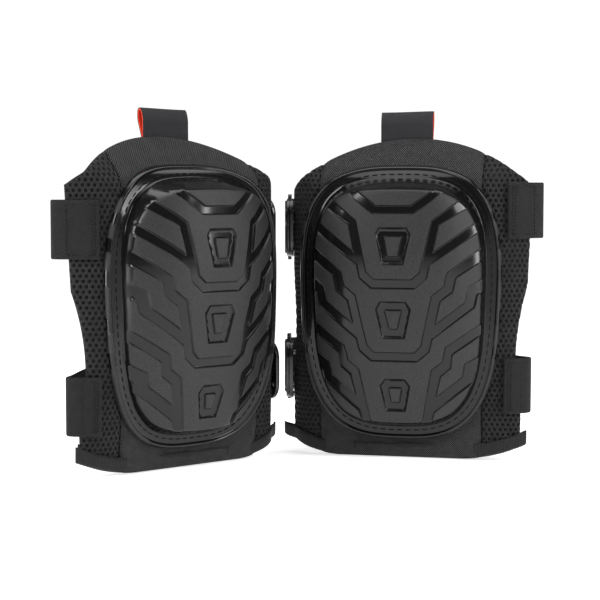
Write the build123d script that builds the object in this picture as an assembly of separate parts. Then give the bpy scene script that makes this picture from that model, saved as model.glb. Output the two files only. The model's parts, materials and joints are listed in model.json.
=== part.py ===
from build123d import *
import os
from math import atan2, copysign, cos, degrees, hypot, pi, radians, sin, sqrt

# A pair of strap-on knee pads standing side by side on their bottom edges.
# Each pad is modelled once in its own frame: u to the pad's outer side, y towards
# the knee, z up from the floor.  The left pad is the mirror image of the right one.

# ---- where the two pads stand: outward turn in degrees, and the pad origin on the floor
STANCE = {"left": (40.0, (-78.0, -20.0)), "right": (-12.5, (79.0, 20.0))}

# ---- fabric sleeve, front view
TOP_RADIUS = 138.0          # top edge is one arc, its centre a little to the outer side
TOP_CENTRE_U = 7.0
TOP_CENTRE_Z = 118.5
FLAT_HALF = 58.0            # half-width of the flat middle of the sleeve
PANEL_HALF = 64.0           # seam between front panel and side wings
BASE_HALF = 48.0            # half-width of the straight bottom edge
TIP_LIFT = {1: 13.0, -1: 19.0}      # the bottom edge rises this much at the outer and inner tips
TIP_HALF = 101.0
FLOOR_GAP = 1.2             # sleeve stands this far above the floor, inside its binding

# ---- fabric sleeve, plan and side curves
OUTER_BEND, OUTER_TURN, OUTER_TAIL = 60.0, 49.0, 0.2
INNER_BEND, INNER_TURN, INNER_TAIL = 33.0, 80.0, 6.0
SIDE_RADIUS, SIDE_MIDDLE = 900.0, 144.5
ROLL_START, ROLL_RADIUS, ROLL_LEAN = 212.5, 22.0, 45.0
WING_TIP_Z = 199.0          # height at which the wing tips reach their full length
WING_TAPER = {"outer": 3.3, "inner": 2.8}   # degrees, wings are shorter towards the bottom
WAIST = {"outer": (87.0, 170.0, 8.0), "inner": (110.0, 110.0, 9.5)}     # height, radius, depth

# ---- layers, measured back from the sleeve's front surface
PANEL_THICK = 4.0
WING_THICK = 6.8
LINING_FRONT, LINING_THICK = 6.9, 2.6
CORE_FRONT, CORE_BACK = 4.2, 16.0
GEL_FRONT = 10.0
CORE_SIZE, CORE_Z, CORE_CORNER = (120.0, 196.0), 123.0, 42.0
GEL_SIZE, GEL_CORNER = (84.0, 112.0), 30.0
POCKET_GAP = 0.2

# ---- bottom binding tape
BINDING_HEIGHT, BINDING_THICK, BINDING_END = 12.5, 1.2, 3.0

# ---- hard cap
CAP_Z, CAP_HALF_HEIGHT = 124.2, 108.3
CAP_HALF_WIDTH, CAP_WIDTH_SLOPE = 79.5, 0.04
CAP_POINTS = 72
CAP_SEAT = 0.3              # gap between the cap's flange and the fabric
FLANGE_THICK = 2.4
BEAD_WIDTH, BEAD_HEIGHT = 4.0, 4.2
CHANNEL_INSET = 7.2         # seam line, in from the cap's outer edge
THREAD = 0.9
CAP_WALL = 2.6
DOME_SHOULDER = 9.0         # height of the dome's steep side wall
# height above the floor, half-width, front of the dome at its centre line
DOME_SECTIONS = (
    (31.0, 36.0, -9.0), (40.0, 47.0, -14.0), (66.5, 58.5, -21.0), (98.5, 65.0, -28.0),
    (127.5, 68.5, -32.0), (155.5, 69.5, -35.0), (184.5, 66.5, -33.0), (201.5, 61.0, -31.7),
    (212.5, 49.0, -25.0), (220.0, 36.0, -13.0),
)

# ---- straps: webbing, the height of its sewn end, and of the clip at its other end with
# the side of the clip that the stud lies on
WEB_WIDTH, WEB_THICK, WEB_GAP = 43.5, 2.0, 0.3
PATCH_LENGTH = {"upper": 26.0, "lower": 17.0}
SEWN_Z = {"right": {"upper": 197.0, "lower": 60.0}, "left": {"upper": 184.0, "lower": 54.0}}
STRAPS = {"upper": (182.5, 1), "lower": (67.5, -1)}
FOLD_SPACE = 4.6            # from the webbing's middle to that of its folded-back end
GRIP_THICK, GRIP_WIDTH = 1.4, 38.0

# ---- clips; t runs back along the inner wing from its edge, n outward from the fabric
CLIP_FRONT, CLIP_BACK, CLIP_HEIGHT = -16.0, 12.0, 47.0
RECEIVER_NEAR, RECEIVER_FAR, LIP_NEAR = 0.3, 3.1, 1.8
STUD_T, STUD_RISE, STUD_RADIUS, STUD_HEAD = 2.0, 9.0, 2.5, 5.0
SLOT_CLEAR, HOLE_CLEAR = 0.4, 0.75
RELEASE_TRAVEL = 9.0
PLATE_NEAR, PLATE_THICK = 3.4, 2.8
PLATE_FRONT, PLATE_BACK, BAR_WIDTH, WEB_SLOT = -10.0, 28.0, 4.8, 3.2
SLOT_HEIGHT, PLATE_TAIL_HEIGHT = 46.6, 54.0
BUTTON_RADIUS, BUTTON_HEIGHT = 7.0, 1.2
NIB_WIDTH, NIB_RISE = 2.4, 6.0
RIVET_SPOTS = ((-6.0, -14.0), (-6.0, 19.5))
RIVET_RADIUS, RIVET_HEAD, RIVET_WASHER = 2.0, 3.2, 4.2
RIVET_HEAD_THICK, RIVET_CLEAR = 1.1, 0.1
WASHER_DEPTH = LINING_FRONT + LINING_THICK + 0.1

# ---- pull tab: a ribbon loop standing on the top edge
TAB_WIDTH, TAB_DEPTH, TAB_HEIGHT = 42.0, 8.0, 19.0
TAB_Y, TAB_LEAN = 41.0, 10.0
RIBBON, TAB_LINING = 0.8, 0.6

BIG = 400.0


# ------------------------------------------------------------------ sleeve surfaces
def bend_end(bend, turn, tail, depth=0.0):
    """End of a wing's plan curve and its direction, on the +u side."""
    a = radians(turn)
    r = bend - depth
    x = FLAT_HALF + r * sin(a) + tail * cos(a)
    y = bend - r * cos(a) + tail * sin(a)
    return x, y, cos(a), sin(a)


def plan_region(depth):
    """Everything behind the sleeve surface, seen from above."""
    ox, oy, otx, oty = bend_end(OUTER_BEND, OUTER_TURN, 60.0, depth)
    ix, iy, itx, ity = bend_end(INNER_BEND, INNER_TURN, 60.0, depth)
    outer = CenterArc((FLAT_HALF, OUTER_BEND), OUTER_BEND - depth, -90, OUTER_TURN)
    inner = CenterArc((-FLAT_HALF, INNER_BEND), INNER_BEND - depth, -90, -INNER_TURN)
    front = Line((-FLAT_HALF, depth), (FLAT_HALF, depth))
    back = Polyline(outer @ 1, (ox, oy), (BIG / 2, BIG / 2), (-BIG / 2, BIG / 2), (-ix, iy), inner @ 1)
    return make_face([front, outer, *back.edges(), inner])


def side_region(depth):
    """Everything behind the sleeve surface, seen from the side, drawn as (y, z)."""
    lean = degrees(atan2(ROLL_START - SIDE_MIDDLE, SIDE_RADIUS))
    start = -10.0
    r = SIDE_RADIUS - depth
    main = CenterArc((SIDE_RADIUS, SIDE_MIDDLE), r, 180 - start, start - lean)
    hub = SIDE_RADIUS - ROLL_RADIUS
    centre = (SIDE_RADIUS - hub * cos(radians(lean)), SIDE_MIDDLE + hub * sin(radians(lean)))
    roll = CenterArc(centre, ROLL_RADIUS - depth, 180 - lean, lean - ROLL_LEAN)
    top = roll @ 1 + Vector(sin(radians(ROLL_LEAN)), cos(radians(ROLL_LEAN))) * 80
    bottom = main @ 0
    rest = Polyline(roll @ 1, top, (BIG / 2, top.Y), (BIG / 2, bottom.Y), bottom)
    return make_face([main, roll, *rest.edges()])


def behind(depth):
    """Solid behind the sleeve surface that lies at this depth."""
    plan = extrude(Pos(0, 0, -20) * plan_region(depth), BIG)
    side = extrude(Plane.YZ * side_region(depth), BIG / 2, both=True)
    return plan & side


def front_prism(sketch):
    """Extrude a front-view sketch, drawn as (u, z), through the whole pad."""
    return extrude(Plane.XZ * sketch, BIG / 2, both=True)


def sleeve_outline(lift):
    """Front view of the sleeve, its bottom edge raised by lift."""
    side_z = {s: TOP_CENTRE_Z + sqrt(TOP_RADIUS ** 2 - (115.0 - s * TOP_CENTRE_U) ** 2) for s in (-1, 1)}
    crest = (TOP_CENTRE_U, TOP_CENTRE_Z + TOP_RADIUS)
    edges = [ThreePointArc((-115, side_z[-1]), crest, (115, side_z[1]))]
    for s, rise in TIP_LIFT.items():
        tip = (s * TIP_HALF, rise + lift)
        middle = (s * (BASE_HALF + TIP_HALF) / 2, rise * 0.27 + lift)
        edges.append(ThreePointArc((s * BASE_HALF, lift), middle, tip))
        edges.append(Line(tip, (s * 115, rise + lift)))
        edges.append(Line((s * 115, rise + lift), (s * 115, side_z[s])))
    edges.append(Line((-BASE_HALF, lift), (BASE_HALF, lift)))
    return make_face(edges)


def wing_edge(side):
    """Plan point on the wing's front surface at its edge, and the edge direction."""
    if side == "outer":
        return bend_end(OUTER_BEND, OUTER_TURN, OUTER_TAIL)
    x, y, tx, ty = bend_end(INNER_BEND, INNER_TURN, INNER_TAIL)
    return -x, y, -tx, ty


def wing_cutters(extra=0.0):
    """Solids that trim both wings to length, tapered, with a shallow waist."""
    cutters = Part()
    for side, degrees_in in WING_TAPER.items():
        taper = radians(degrees_in)
        x, y, tx, ty = wing_edge(side)
        normal = Vector(ty, -tx, 0) if side == "outer" else Vector(-ty, tx, 0)
        along = Vector(tx * cos(taper), ty * cos(taper), -sin(taper))
        end = Plane(origin=Vector(x, y, WING_TIP_Z) + along * extra, x_dir=normal, z_dir=along)
        cutters += end * Box(160, 700, 90, align=(Align.CENTER, Align.CENTER, Align.MIN))
        height, radius, depth = WAIST[side]
        shift = radius - depth + extra - (WING_TIP_Z - height) * sin(taper)
        centre = Vector(x + tx * shift, y + ty * shift, height)
        cutters += Plane(origin=centre, z_dir=normal) * Cylinder(radius, 70)
    return cutters


# ------------------------------------------------------------------ sleeve pieces
def rounded_block(size, corner, z):
    return front_prism(Pos(0, z) * RectangleRounded(*size, corner))


def sleeve_pieces():
    """Front panel, both wings, foam core, gel insert and lining."""
    outline = front_prism(sleeve_outline(FLOOR_GAP)) - wing_cutters()
    surface = behind(0)
    pieces = {}
    middle = Box(2 * PANEL_HALF, BIG, 2 * BIG)
    pieces["front_panel"] = (surface - behind(PANEL_THICK)) & outline & middle
    wings = ((surface - behind(WING_THICK)) & outline) - Box(2 * PANEL_HALF + 0.2, BIG, 2 * BIG)
    wings -= rivet_holes()
    ordered = wings.solids().sort_by(Axis.X)
    pieces["inner_wing"] = ordered[0]
    pieces["outer_wing"] = ordered[-1]

    core_block = rounded_block(CORE_SIZE, CORE_CORNER, CORE_Z)
    gel_block = rounded_block(GEL_SIZE, GEL_CORNER, CORE_Z)
    core_zone = behind(CORE_FRONT) - behind(CORE_BACK)
    gel_zone = behind(GEL_FRONT)
    pieces["foam_core"] = (core_zone & core_block) - (gel_zone & gel_block)
    gel_room = rounded_block([s - 2 * POCKET_GAP for s in GEL_SIZE], GEL_CORNER - POCKET_GAP, CORE_Z)
    pieces["gel_insert"] = core_zone & behind(GEL_FRONT + POCKET_GAP) & gel_room

    room = rounded_block([s + 2 * POCKET_GAP for s in CORE_SIZE], CORE_CORNER + POCKET_GAP, CORE_Z)
    shell = rounded_block([s + 2 * LINING_THICK for s in CORE_SIZE], CORE_CORNER + LINING_THICK, CORE_Z)
    lining_zone = behind(LINING_FRONT)
    sheet = (lining_zone - behind(LINING_FRONT + LINING_THICK)) & outline
    pouch = (lining_zone - behind(CORE_BACK + LINING_THICK)) & shell
    hollow = (behind(PANEL_THICK) - behind(CORE_BACK + POCKET_GAP / 2)) & room
    pieces["back_lining"] = (sheet + pouch) - hollow - rivet_holes()
    return pieces


def bottom_binding():
    """Tape folded over the sleeve's bottom edge, its ends standing past the wings."""
    strip = front_prism(sleeve_outline(0)) - front_prism(sleeve_outline(BINDING_HEIGHT))
    strip -= wing_cutters(BINDING_END)
    strip &= Box(BIG, BIG, 2 * (max(TIP_LIFT.values()) + BINDING_HEIGHT))
    depth = LINING_FRONT + LINING_THICK + 0.1
    tape = (behind(-BINDING_THICK) - behind(depth + BINDING_THICK)) & strip
    inside = (behind(-0.1) - behind(depth)) & front_prism(sleeve_outline(FLOOR_GAP))
    return tape - inside


# ------------------------------------------------------------------ cap
def cap_outline(inset):
    """Outline of the cap, a rounded rectangle of power 3, drawn in from its outer edge."""
    tall = CAP_HALF_HEIGHT - inset
    points = []
    for i in range(CAP_POINTS):
        a = 2 * pi * i / CAP_POINTS
        z = tall * copysign(abs(sin(a)) ** (2 / 3), sin(a))
        wide = CAP_HALF_WIDTH - inset + CAP_WIDTH_SLOPE * z
        points.append((wide * copysign(abs(cos(a)) ** (2 / 3), cos(a)), z + CAP_Z))
    return make_face(Polyline(*points, close=True))


def dome_section(z, half, front, wall):
    """Plan section of the dome: back line, two steep walls and a crown."""
    seat = (z - SIDE_MIDDLE) ** 2 / (2 * SIDE_RADIUS)
    w = half - wall
    crown = front + wall
    shoulder = min(seat - DOME_SHOULDER + wall, crown + 3.0)
    back = seat + (6.0 if wall else -CAP_SEAT)
    left, right = (-w, back), (w, back)
    top_left, top_right = (-w + 3, shoulder), (w - 3, shoulder)
    arc = ThreePointArc(top_right, (0, crown), top_left)
    walls = Polyline(top_left, left, right, top_right)
    return Pos(0, 0, z) * make_face([arc, *walls.edges()])


def dome(wall):
    """Loft the dome, pulled in by the wall thickness for its hollow."""
    sections = []
    for i, (z, half, front) in enumerate(DOME_SECTIONS):
        level = z + wall if i == 0 else z - wall if i == len(DOME_SECTIONS) - 1 else z
        sections.append(dome_section(level, half, front, wall))
    return loft(sections, ruled=True)


def cap_pieces():
    """Moulded cap: flange on the sleeve, rounded bead, hollow dome; and its seam."""
    seat = cap_seat(CAP_SEAT)
    flange = (cap_seat(CAP_SEAT + FLANGE_THICK) - seat) & front_prism(cap_outline(0))
    rim = front_prism(cap_outline(0)) - front_prism(cap_outline(BEAD_WIDTH))
    bead = (cap_seat(CAP_SEAT + BEAD_HEIGHT) - seat) & rim
    cap = (flange + bead + dome(0)) - dome(CAP_WALL)
    seam_top = cap_seat(CAP_SEAT + FLANGE_THICK + THREAD)
    seam_bottom = cap_seat(CAP_SEAT + FLANGE_THICK)
    seam = front_prism(cap_outline(CHANNEL_INSET)) - front_prism(cap_outline(CHANNEL_INSET + THREAD))
    stitching = (seam_top - seam_bottom) & seam
    return {"cap": cap, "cap_stitching": stitching}


def cap_seat(proud):
    """Solid behind the cap's seat, which bends equally on both sides."""
    right = CenterArc((FLAT_HALF, OUTER_BEND), OUTER_BEND + proud, -90, OUTER_TURN)
    left = CenterArc((-FLAT_HALF, OUTER_BEND), OUTER_BEND + proud, -90, -OUTER_TURN)
    front = Line((-FLAT_HALF, -proud), (FLAT_HALF, -proud))
    back = Polyline(right @ 1, (BIG / 2, BIG / 2), (-BIG / 2, BIG / 2), left @ 1)
    plan = extrude(make_face([front, right, *back.edges(), left]), BIG)
    side = extrude(Plane.YZ * side_region(-proud), BIG / 2, both=True)
    return plan & side


# ------------------------------------------------------------------ webbing
def ribbon(points, thickness, z_low, z_high):
    """Band of even thickness standing on a plan polyline, with mitred corners."""
    count = len(points)
    normals = []
    for i in range(count - 1):
        dx = points[i + 1][0] - points[i][0]
        dy = points[i + 1][1] - points[i][1]
        normals.append((-dy / hypot(dx, dy), dx / hypot(dx, dy)))
    sides = {1: [], -1: []}
    for i, (x, y) in enumerate(points):
        a = normals[max(i - 1, 0)]
        b = normals[min(i, count - 2)]
        mx, my = a[0] + b[0], a[1] + b[1]
        scale = thickness / (mx * mx + my * my)
        for s in sides:
            sides[s].append((x + s * mx * scale, y + s * my * scale))
    outline = sides[1] + sides[-1][::-1]
    face = make_face(Polyline(*outline, close=True))
    return extrude(Pos(0, 0, z_low) * face, z_high - z_low)


def outer_wing_point(s, offset_out):
    """Plan point a distance s along the outer wing's arc, offset outward."""
    a = s / OUTER_BEND
    r = OUTER_BEND + offset_out
    return FLAT_HALF + r * sin(a), OUTER_BEND - r * cos(a)


def outer_reach(z):
    """Length of the outer wing's arc at a height."""
    full = radians(OUTER_TURN) * OUTER_BEND + OUTER_TAIL
    height, radius, depth = WAIST["outer"]
    waist = max(sqrt(radius ** 2 - (z - height) ** 2) - radius + depth, 0)
    return full - (WING_TIP_Z - z) * sin(radians(WING_TAPER["outer"])) - waist


def clip_frame(name):
    """Plan origin and directions of a clip: t back along the wing, n outward."""
    x, y, tx, ty = wing_edge("inner")
    back = (WING_TIP_Z - STRAPS[name][0]) * sin(radians(WING_TAPER["inner"]))
    return (x - tx * back, y - ty * back), (tx, ty), (-ty, tx)


def clip_point(name, t, n):
    (x, y), (tx, ty), (nx, ny) = clip_frame(name)
    return x + tx * t + nx * n, y + ty * t + ny * n


def strap_route(name, sewn_z):
    """Plan points of the webbing: sewn end, fold, run behind the leg, clip end."""
    reach = max(outer_reach(sewn_z + WEB_WIDTH / 2), outer_reach(sewn_z - WEB_WIDTH / 2))
    lift = WEB_GAP + WEB_THICK / 2
    steps = 6
    patch = PATCH_LENGTH[name]
    sewn = [outer_wing_point(reach - patch + i * (patch + 2) / steps, lift) for i in range(steps + 1)]
    x, y = sewn[-1]
    fold = [(x + 2.6, y + 5.0), (x + 1.0, y + 9.5), (x - 5.0, y + 14.0)]
    across = [(x - 15, y + 23), (x - 27, y + 33), (x - 43, y + 44), (x - 64, y + 54), (x - 88, y + 60)]
    bar = PLATE_NEAR - 0.4 - WEB_THICK / 2
    far = PLATE_NEAR + PLATE_THICK + 0.4 + WEB_THICK / 2
    slot_t = PLATE_BACK - BAR_WIDTH - WEB_SLOT / 2
    main = [clip_point(name, PLATE_BACK + t, bar + n) for t, n in ((25, -22), (17, -7), (11, -1.5), (5, 0))]
    x0, y0 = across[-1]
    x1, y1 = main[0]
    middle = [(x0 + (x1 - x0) * f, y0 + (y1 - y0) * f + 34 * f * (1 - f)) for f in (0.2, 0.4, 0.6, 0.8)]
    loop = [clip_point(name, slot_t, bar), clip_point(name, slot_t, far),
            clip_point(name, PLATE_BACK + 1.5, far), clip_point(name, PLATE_BACK + 6, bar + FOLD_SPACE)]
    return sewn + fold, across, middle, main, loop


def between(a, b, fraction):
    return a[0] + (b[0] - a[0]) * fraction, a[1] + (b[1] - a[1]) * fraction


def shifted(points, distance):
    """Polyline moved sideways by a distance, to the left of its direction."""
    moved = []
    for i, (x, y) in enumerate(points):
        ax, ay = points[max(i - 1, 0)]
        bx, by = points[min(i + 1, len(points) - 1)]
        length = hypot(bx - ax, by - ay)
        moved.append((x - (by - ay) / length * distance, y + (bx - ax) / length * distance))
    return moved


def strap_pieces(name, sewn_z):
    """Webbing with its folded-back end, and the hook-tape patch between the layers."""
    clip_z = STRAPS[name][0]
    sewn, across, middle, main, loop = strap_route(name, sewn_z)
    half = WEB_WIDTH / 2
    start = ribbon(sewn + across[:1], WEB_THICK, sewn_z - half, sewn_z + half)
    run_points = [sewn[-1]] + across + middle + [main[0], between(main[0], main[1], 0.25)]
    first, last = run_points[0], run_points[-1]
    level = (sewn_z + clip_z) / 2
    slope = degrees(atan2(sewn_z - clip_z, first[0] - last[0]))
    run = ribbon(run_points, WEB_THICK, -half, half)
    pivot = Pos((first[0] + last[0]) / 2, 0, level)
    run = pivot * Rot(0, -slope, 0) * Pos(-(first[0] + last[0]) / 2, 0, 0) * run
    guide = main[::-1]
    back = shifted(guide, -FOLD_SPACE)
    end = ribbon(main + loop[:1], WEB_THICK, clip_z - half, clip_z + half)
    end += ribbon(loop + back[1:], WEB_THICK, clip_z - half, clip_z + half)
    patch = shifted(guide, -FOLD_SPACE / 2)[1:]
    patch[-1] = between(patch[-2], patch[-1], 0.55)
    grip = ribbon(patch, GRIP_THICK, clip_z - GRIP_WIDTH / 2, clip_z + GRIP_WIDTH / 2)
    return {"strap": start + run + end, "strap_grip": grip}


# ------------------------------------------------------------------ clips
def clip_plane(name):
    """Workplane of a clip: x back along the wing, y up, z outward."""
    (x, y), (tx, ty), (nx, ny) = clip_frame(name)
    return Plane(origin=(x, y, STRAPS[name][0]), x_dir=(tx, ty, 0), z_dir=(nx, ny, 0))


def clip_up(name):
    """+1 where the clip plane's y points up, times the side the stud lies on."""
    return STRAPS[name][1] * (1 if clip_plane(name).y_dir.Z > 0 else -1)


def slab(sketch, near, far):
    """Extrude a clip-plane sketch between two distances from the fabric."""
    return extrude(Pos(0, 0, near) * sketch, far - near)


def oval(front, back, height):
    width = back - front
    return Pos((front + back) / 2, 0) * RectangleRounded(width, height, width / 2 - 0.5)


def rivet_holes():
    """Holes for the clip rivets through the inner wing and the lining, and their washers."""
    holes = Part()
    for name in STRAPS:
        for t, rise in RIVET_SPOTS:
            spot = Pos(t, rise * clip_up(name))
            holes += clip_plane(name) * slab(spot * Circle(RIVET_RADIUS + RIVET_CLEAR), -30, 10)
            washer = Circle(RIVET_WASHER + RIVET_CLEAR)
            holes += clip_plane(name) * slab(spot * washer, -30, -WASHER_DEPTH)
    return holes


def rivets(name):
    """Two rivets with a flush outer head and a washer head on the lining."""
    group = []
    near = WASHER_DEPTH + RIVET_CLEAR
    face = RECEIVER_FAR - RIVET_CLEAR
    for t, rise in RIVET_SPOTS:
        spot = Pos(t, rise * clip_up(name))
        body = slab(spot * Circle(RIVET_RADIUS), -near, face)
        body += slab(spot * Circle(RIVET_HEAD), face - RIVET_HEAD_THICK, face)
        body += slab(spot * Circle(RIVET_WASHER), -near - RIVET_HEAD_THICK, -near)
        group.append(clip_plane(name) * body)
    return Compound(children=group)


def receiver(name):
    """Oval plate on the wing with a keyhole and a pocket for the stud's head."""
    up = clip_up(name)
    body = slab(oval(CLIP_FRONT, CLIP_BACK, CLIP_HEIGHT), RECEIVER_NEAR, RECEIVER_FAR)
    open_t = STUD_T - RELEASE_TRAVEL
    slot_half = STUD_RADIUS + SLOT_CLEAR
    head_room = STUD_HEAD + HOLE_CLEAR
    rise = STUD_RISE * up
    middle = (STUD_T + open_t) / 2
    keyhole = Pos(open_t, rise) * Circle(head_room) + Pos(STUD_T, rise) * Circle(slot_half)
    keyhole += Pos(middle, rise) * Rectangle(RELEASE_TRAVEL, 2 * slot_half)
    pocket = Pos(open_t, rise) * Circle(head_room) + Pos(STUD_T, rise) * Circle(head_room)
    pocket += Pos(middle, rise) * Rectangle(RELEASE_TRAVEL, 2 * head_room)
    body -= slab(keyhole, 0, 6)
    body -= slab(pocket, 0, LIP_NEAR)
    for t, spot_rise in RIVET_SPOTS:
        spot = Pos(t, spot_rise * up)
        body -= slab(spot * Circle(RIVET_RADIUS + RIVET_CLEAR), 0, 6)
        head_floor = RECEIVER_FAR - RIVET_HEAD_THICK - 2 * RIVET_CLEAR
        body -= slab(spot * Circle(RIVET_HEAD + RIVET_CLEAR), head_floor, 6)
    return clip_plane(name) * body


def hook_plate(name):
    """Clip plate on the strap: webbing slot, stud with a mushroom head, button."""
    up = clip_up(name)
    face_far = PLATE_NEAR + PLATE_THICK
    shape = oval(PLATE_FRONT, PLATE_BACK - 8, CLIP_HEIGHT)
    tail = Pos(PLATE_BACK - 6, 0) * RectangleRounded(12, PLATE_TAIL_HEIGHT, 3)
    slot_t = PLATE_BACK - BAR_WIDTH - WEB_SLOT / 2
    shape = shape + tail - Pos(slot_t, 0) * Rectangle(WEB_SLOT, SLOT_HEIGHT)
    body = slab(shape, PLATE_NEAR, face_far)
    spot = Pos(STUD_T, STUD_RISE * up)
    body += slab(spot * Circle(STUD_RADIUS), RECEIVER_NEAR + 0.2, PLATE_NEAR)
    body += slab(spot * Circle(STUD_HEAD), RECEIVER_NEAR + 0.2, LIP_NEAR - 0.3)
    body += slab(spot * Circle(BUTTON_RADIUS), face_far, face_far + BUTTON_HEIGHT)
    if name == "lower":
        nib_z = CLIP_HEIGHT / 2 + NIB_RISE / 2 - 1
        nib = Pos(STUD_T, -up * nib_z) * Rectangle(NIB_WIDTH, NIB_RISE)
        body += slab(nib, PLATE_NEAR, PLATE_NEAR + NIB_WIDTH)
    return clip_plane(name) * body


# ------------------------------------------------------------------ pull tab
def tab_shell(outer_trim, thickness):
    """Flattened ribbon tube lying across the pad."""
    outer = RectangleRounded(TAB_DEPTH - 2 * outer_trim, TAB_HEIGHT - 2 * outer_trim,
                             TAB_DEPTH / 2 - outer_trim - 0.05)
    trim = outer_trim + thickness
    inner = RectangleRounded(TAB_DEPTH - 2 * trim, TAB_HEIGHT - 2 * trim, TAB_DEPTH / 2 - trim - 0.05)
    tube = extrude(Plane.YZ * (outer - inner), TAB_WIDTH / 2, both=True)
    foot = TAB_HEIGHT / 2 - TAB_DEPTH / 2
    hinge_z = TOP_CENTRE_Z + TOP_RADIUS + TAB_DEPTH / 2 + 0.4
    return Pos(0, TAB_Y, hinge_z) * Rot(-TAB_LEAN, 0, 0) * Pos(0, 0, foot) * tube


def pull_tab_pieces():
    return {"pull_tab": tab_shell(0, RIBBON), "pull_tab_lining": tab_shell(RIBBON + 0.02, TAB_LINING)}


# ------------------------------------------------------------------ assembly
def build_pad():
    """What both pads share, in the right-hand pad's own frame."""
    pieces = sleeve_pieces()
    pieces["bottom_binding"] = bottom_binding()
    pieces.update(cap_pieces())
    pieces.update(pull_tab_pieces())
    for name in STRAPS:
        pieces[f"{name}_receiver"] = receiver(name)
        pieces[f"{name}_hook_plate"] = hook_plate(name)
        pieces[f"{name}_rivets"] = rivets(name)
    return pieces


def straps(side):
    """Straps of one pad; their sewn ends are not at the same heights on both."""
    pieces = {}
    for name, sewn_z in SEWN_Z[side].items():
        for kind, solid in strap_pieces(name, sewn_z).items():
            pieces[f"{name}_{kind}"] = solid
    return pieces


def place(pieces):
    """Stand both pads on the floor, the left one mirrored."""
    placed = {}
    for side, (turn, (x, y)) in STANCE.items():
        for name, solid in (pieces | straps(side)).items():
            shape = mirror(solid, about=Plane.YZ) if side == "left" else solid
            placed[f"{side}_{name}"] = Pos(x, y, 0) * Rot(0, 0, turn) * shape
    return placed


def centre_shift(nodes):
    """Move that brings the pair's box over the origin, standing on z = 0."""
    boxes = [shape.bounding_box() for shape in nodes.values()]
    low_x, high_x = min(b.min.X for b in boxes), max(b.max.X for b in boxes)
    low_y, high_y = min(b.min.Y for b in boxes), max(b.max.Y for b in boxes)
    return Pos(-(low_x + high_x) / 2, -(low_y + high_y) / 2, -min(b.min.Z for b in boxes))


os.makedirs("parts", exist_ok=True)
pair = place(build_pad())
shift = centre_shift(pair)
for node, shape in pair.items():
    export_step(shift * shape, f"parts/{node}.step")
for side, (turn, (x, y)) in STANCE.items():
    print(side, "pad origin", (shift * Pos(x, y, 0)).position, "turned", turn)
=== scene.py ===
import json
from math import cos, pi, radians, sin

import bmesh
import bpy
import numpy as np
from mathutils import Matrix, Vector
from mathutils.geometry import delaunay_2d_cdt


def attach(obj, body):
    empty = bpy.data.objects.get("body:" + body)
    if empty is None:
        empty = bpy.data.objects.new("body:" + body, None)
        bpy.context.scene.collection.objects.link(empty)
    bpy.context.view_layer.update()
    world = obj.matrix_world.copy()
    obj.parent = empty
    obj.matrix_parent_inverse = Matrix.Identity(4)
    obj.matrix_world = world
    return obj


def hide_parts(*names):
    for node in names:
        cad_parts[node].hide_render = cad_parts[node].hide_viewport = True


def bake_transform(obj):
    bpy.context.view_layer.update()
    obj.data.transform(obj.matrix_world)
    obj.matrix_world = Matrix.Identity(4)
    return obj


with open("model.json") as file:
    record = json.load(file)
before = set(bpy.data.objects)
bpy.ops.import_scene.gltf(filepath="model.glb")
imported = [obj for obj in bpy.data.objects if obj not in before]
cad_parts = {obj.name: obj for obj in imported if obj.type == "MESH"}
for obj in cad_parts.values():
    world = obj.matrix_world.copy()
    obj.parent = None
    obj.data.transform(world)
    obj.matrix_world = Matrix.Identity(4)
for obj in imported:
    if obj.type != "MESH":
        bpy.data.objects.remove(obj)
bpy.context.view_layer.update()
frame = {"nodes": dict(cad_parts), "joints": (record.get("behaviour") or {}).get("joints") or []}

# A pair of strap-on knee pads.  Every shape is worked out once in the pad's own frame, in
# millimetres: u to the pad's outer side, y towards the knee, z up from the floor.  The left
# pad is its mirror image.

# ------------------------------------------------------------------ pad frames
TAB_HINGE_Y = 41.0
PADS = {}
for side, hand in (("right", 1), ("left", -1)):
    joint = next(j for j in frame["joints"] if j["name"] == f"{side}_tab_flex")
    out = np.array(joint["axis"][:2])
    back = hand * np.array([-out[1], out[0]])
    origin = np.array(joint["pos_m"][:2]) * 1000 - back * TAB_HINGE_Y
    PADS[side] = {"hand": hand, "out": out, "back": back, "origin": origin,
                  "hinge_z": joint["pos_m"][2] * 1000}


def to_world(side, points):
    pad = PADS[side]
    p = np.atleast_2d(np.asarray(points, float))
    flat = pad["origin"] + np.outer(p[:, 0], pad["out"]) + np.outer(p[:, 1], pad["back"])
    return np.column_stack([flat, p[:, 2]]) / 1000


def turn_world(side, vectors):
    pad = PADS[side]
    flat = np.outer(vectors[:, 0], pad["out"]) + np.outer(vectors[:, 1], pad["back"])
    return np.column_stack([flat, vectors[:, 2]])


# ------------------------------------------------------------------ mesh helpers
def place(name, data):
    """Object of a mesh, lamp or camera, linked to the scene."""
    made = bpy.data.objects.new(name, data)
    bpy.context.scene.collection.objects.link(made)
    return made


def turned_over(faces, way):
    """Faces as they are, or turned over where the shape is mirrored."""
    return [f[::-1] for f in faces] if way < 0 else faces


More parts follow.
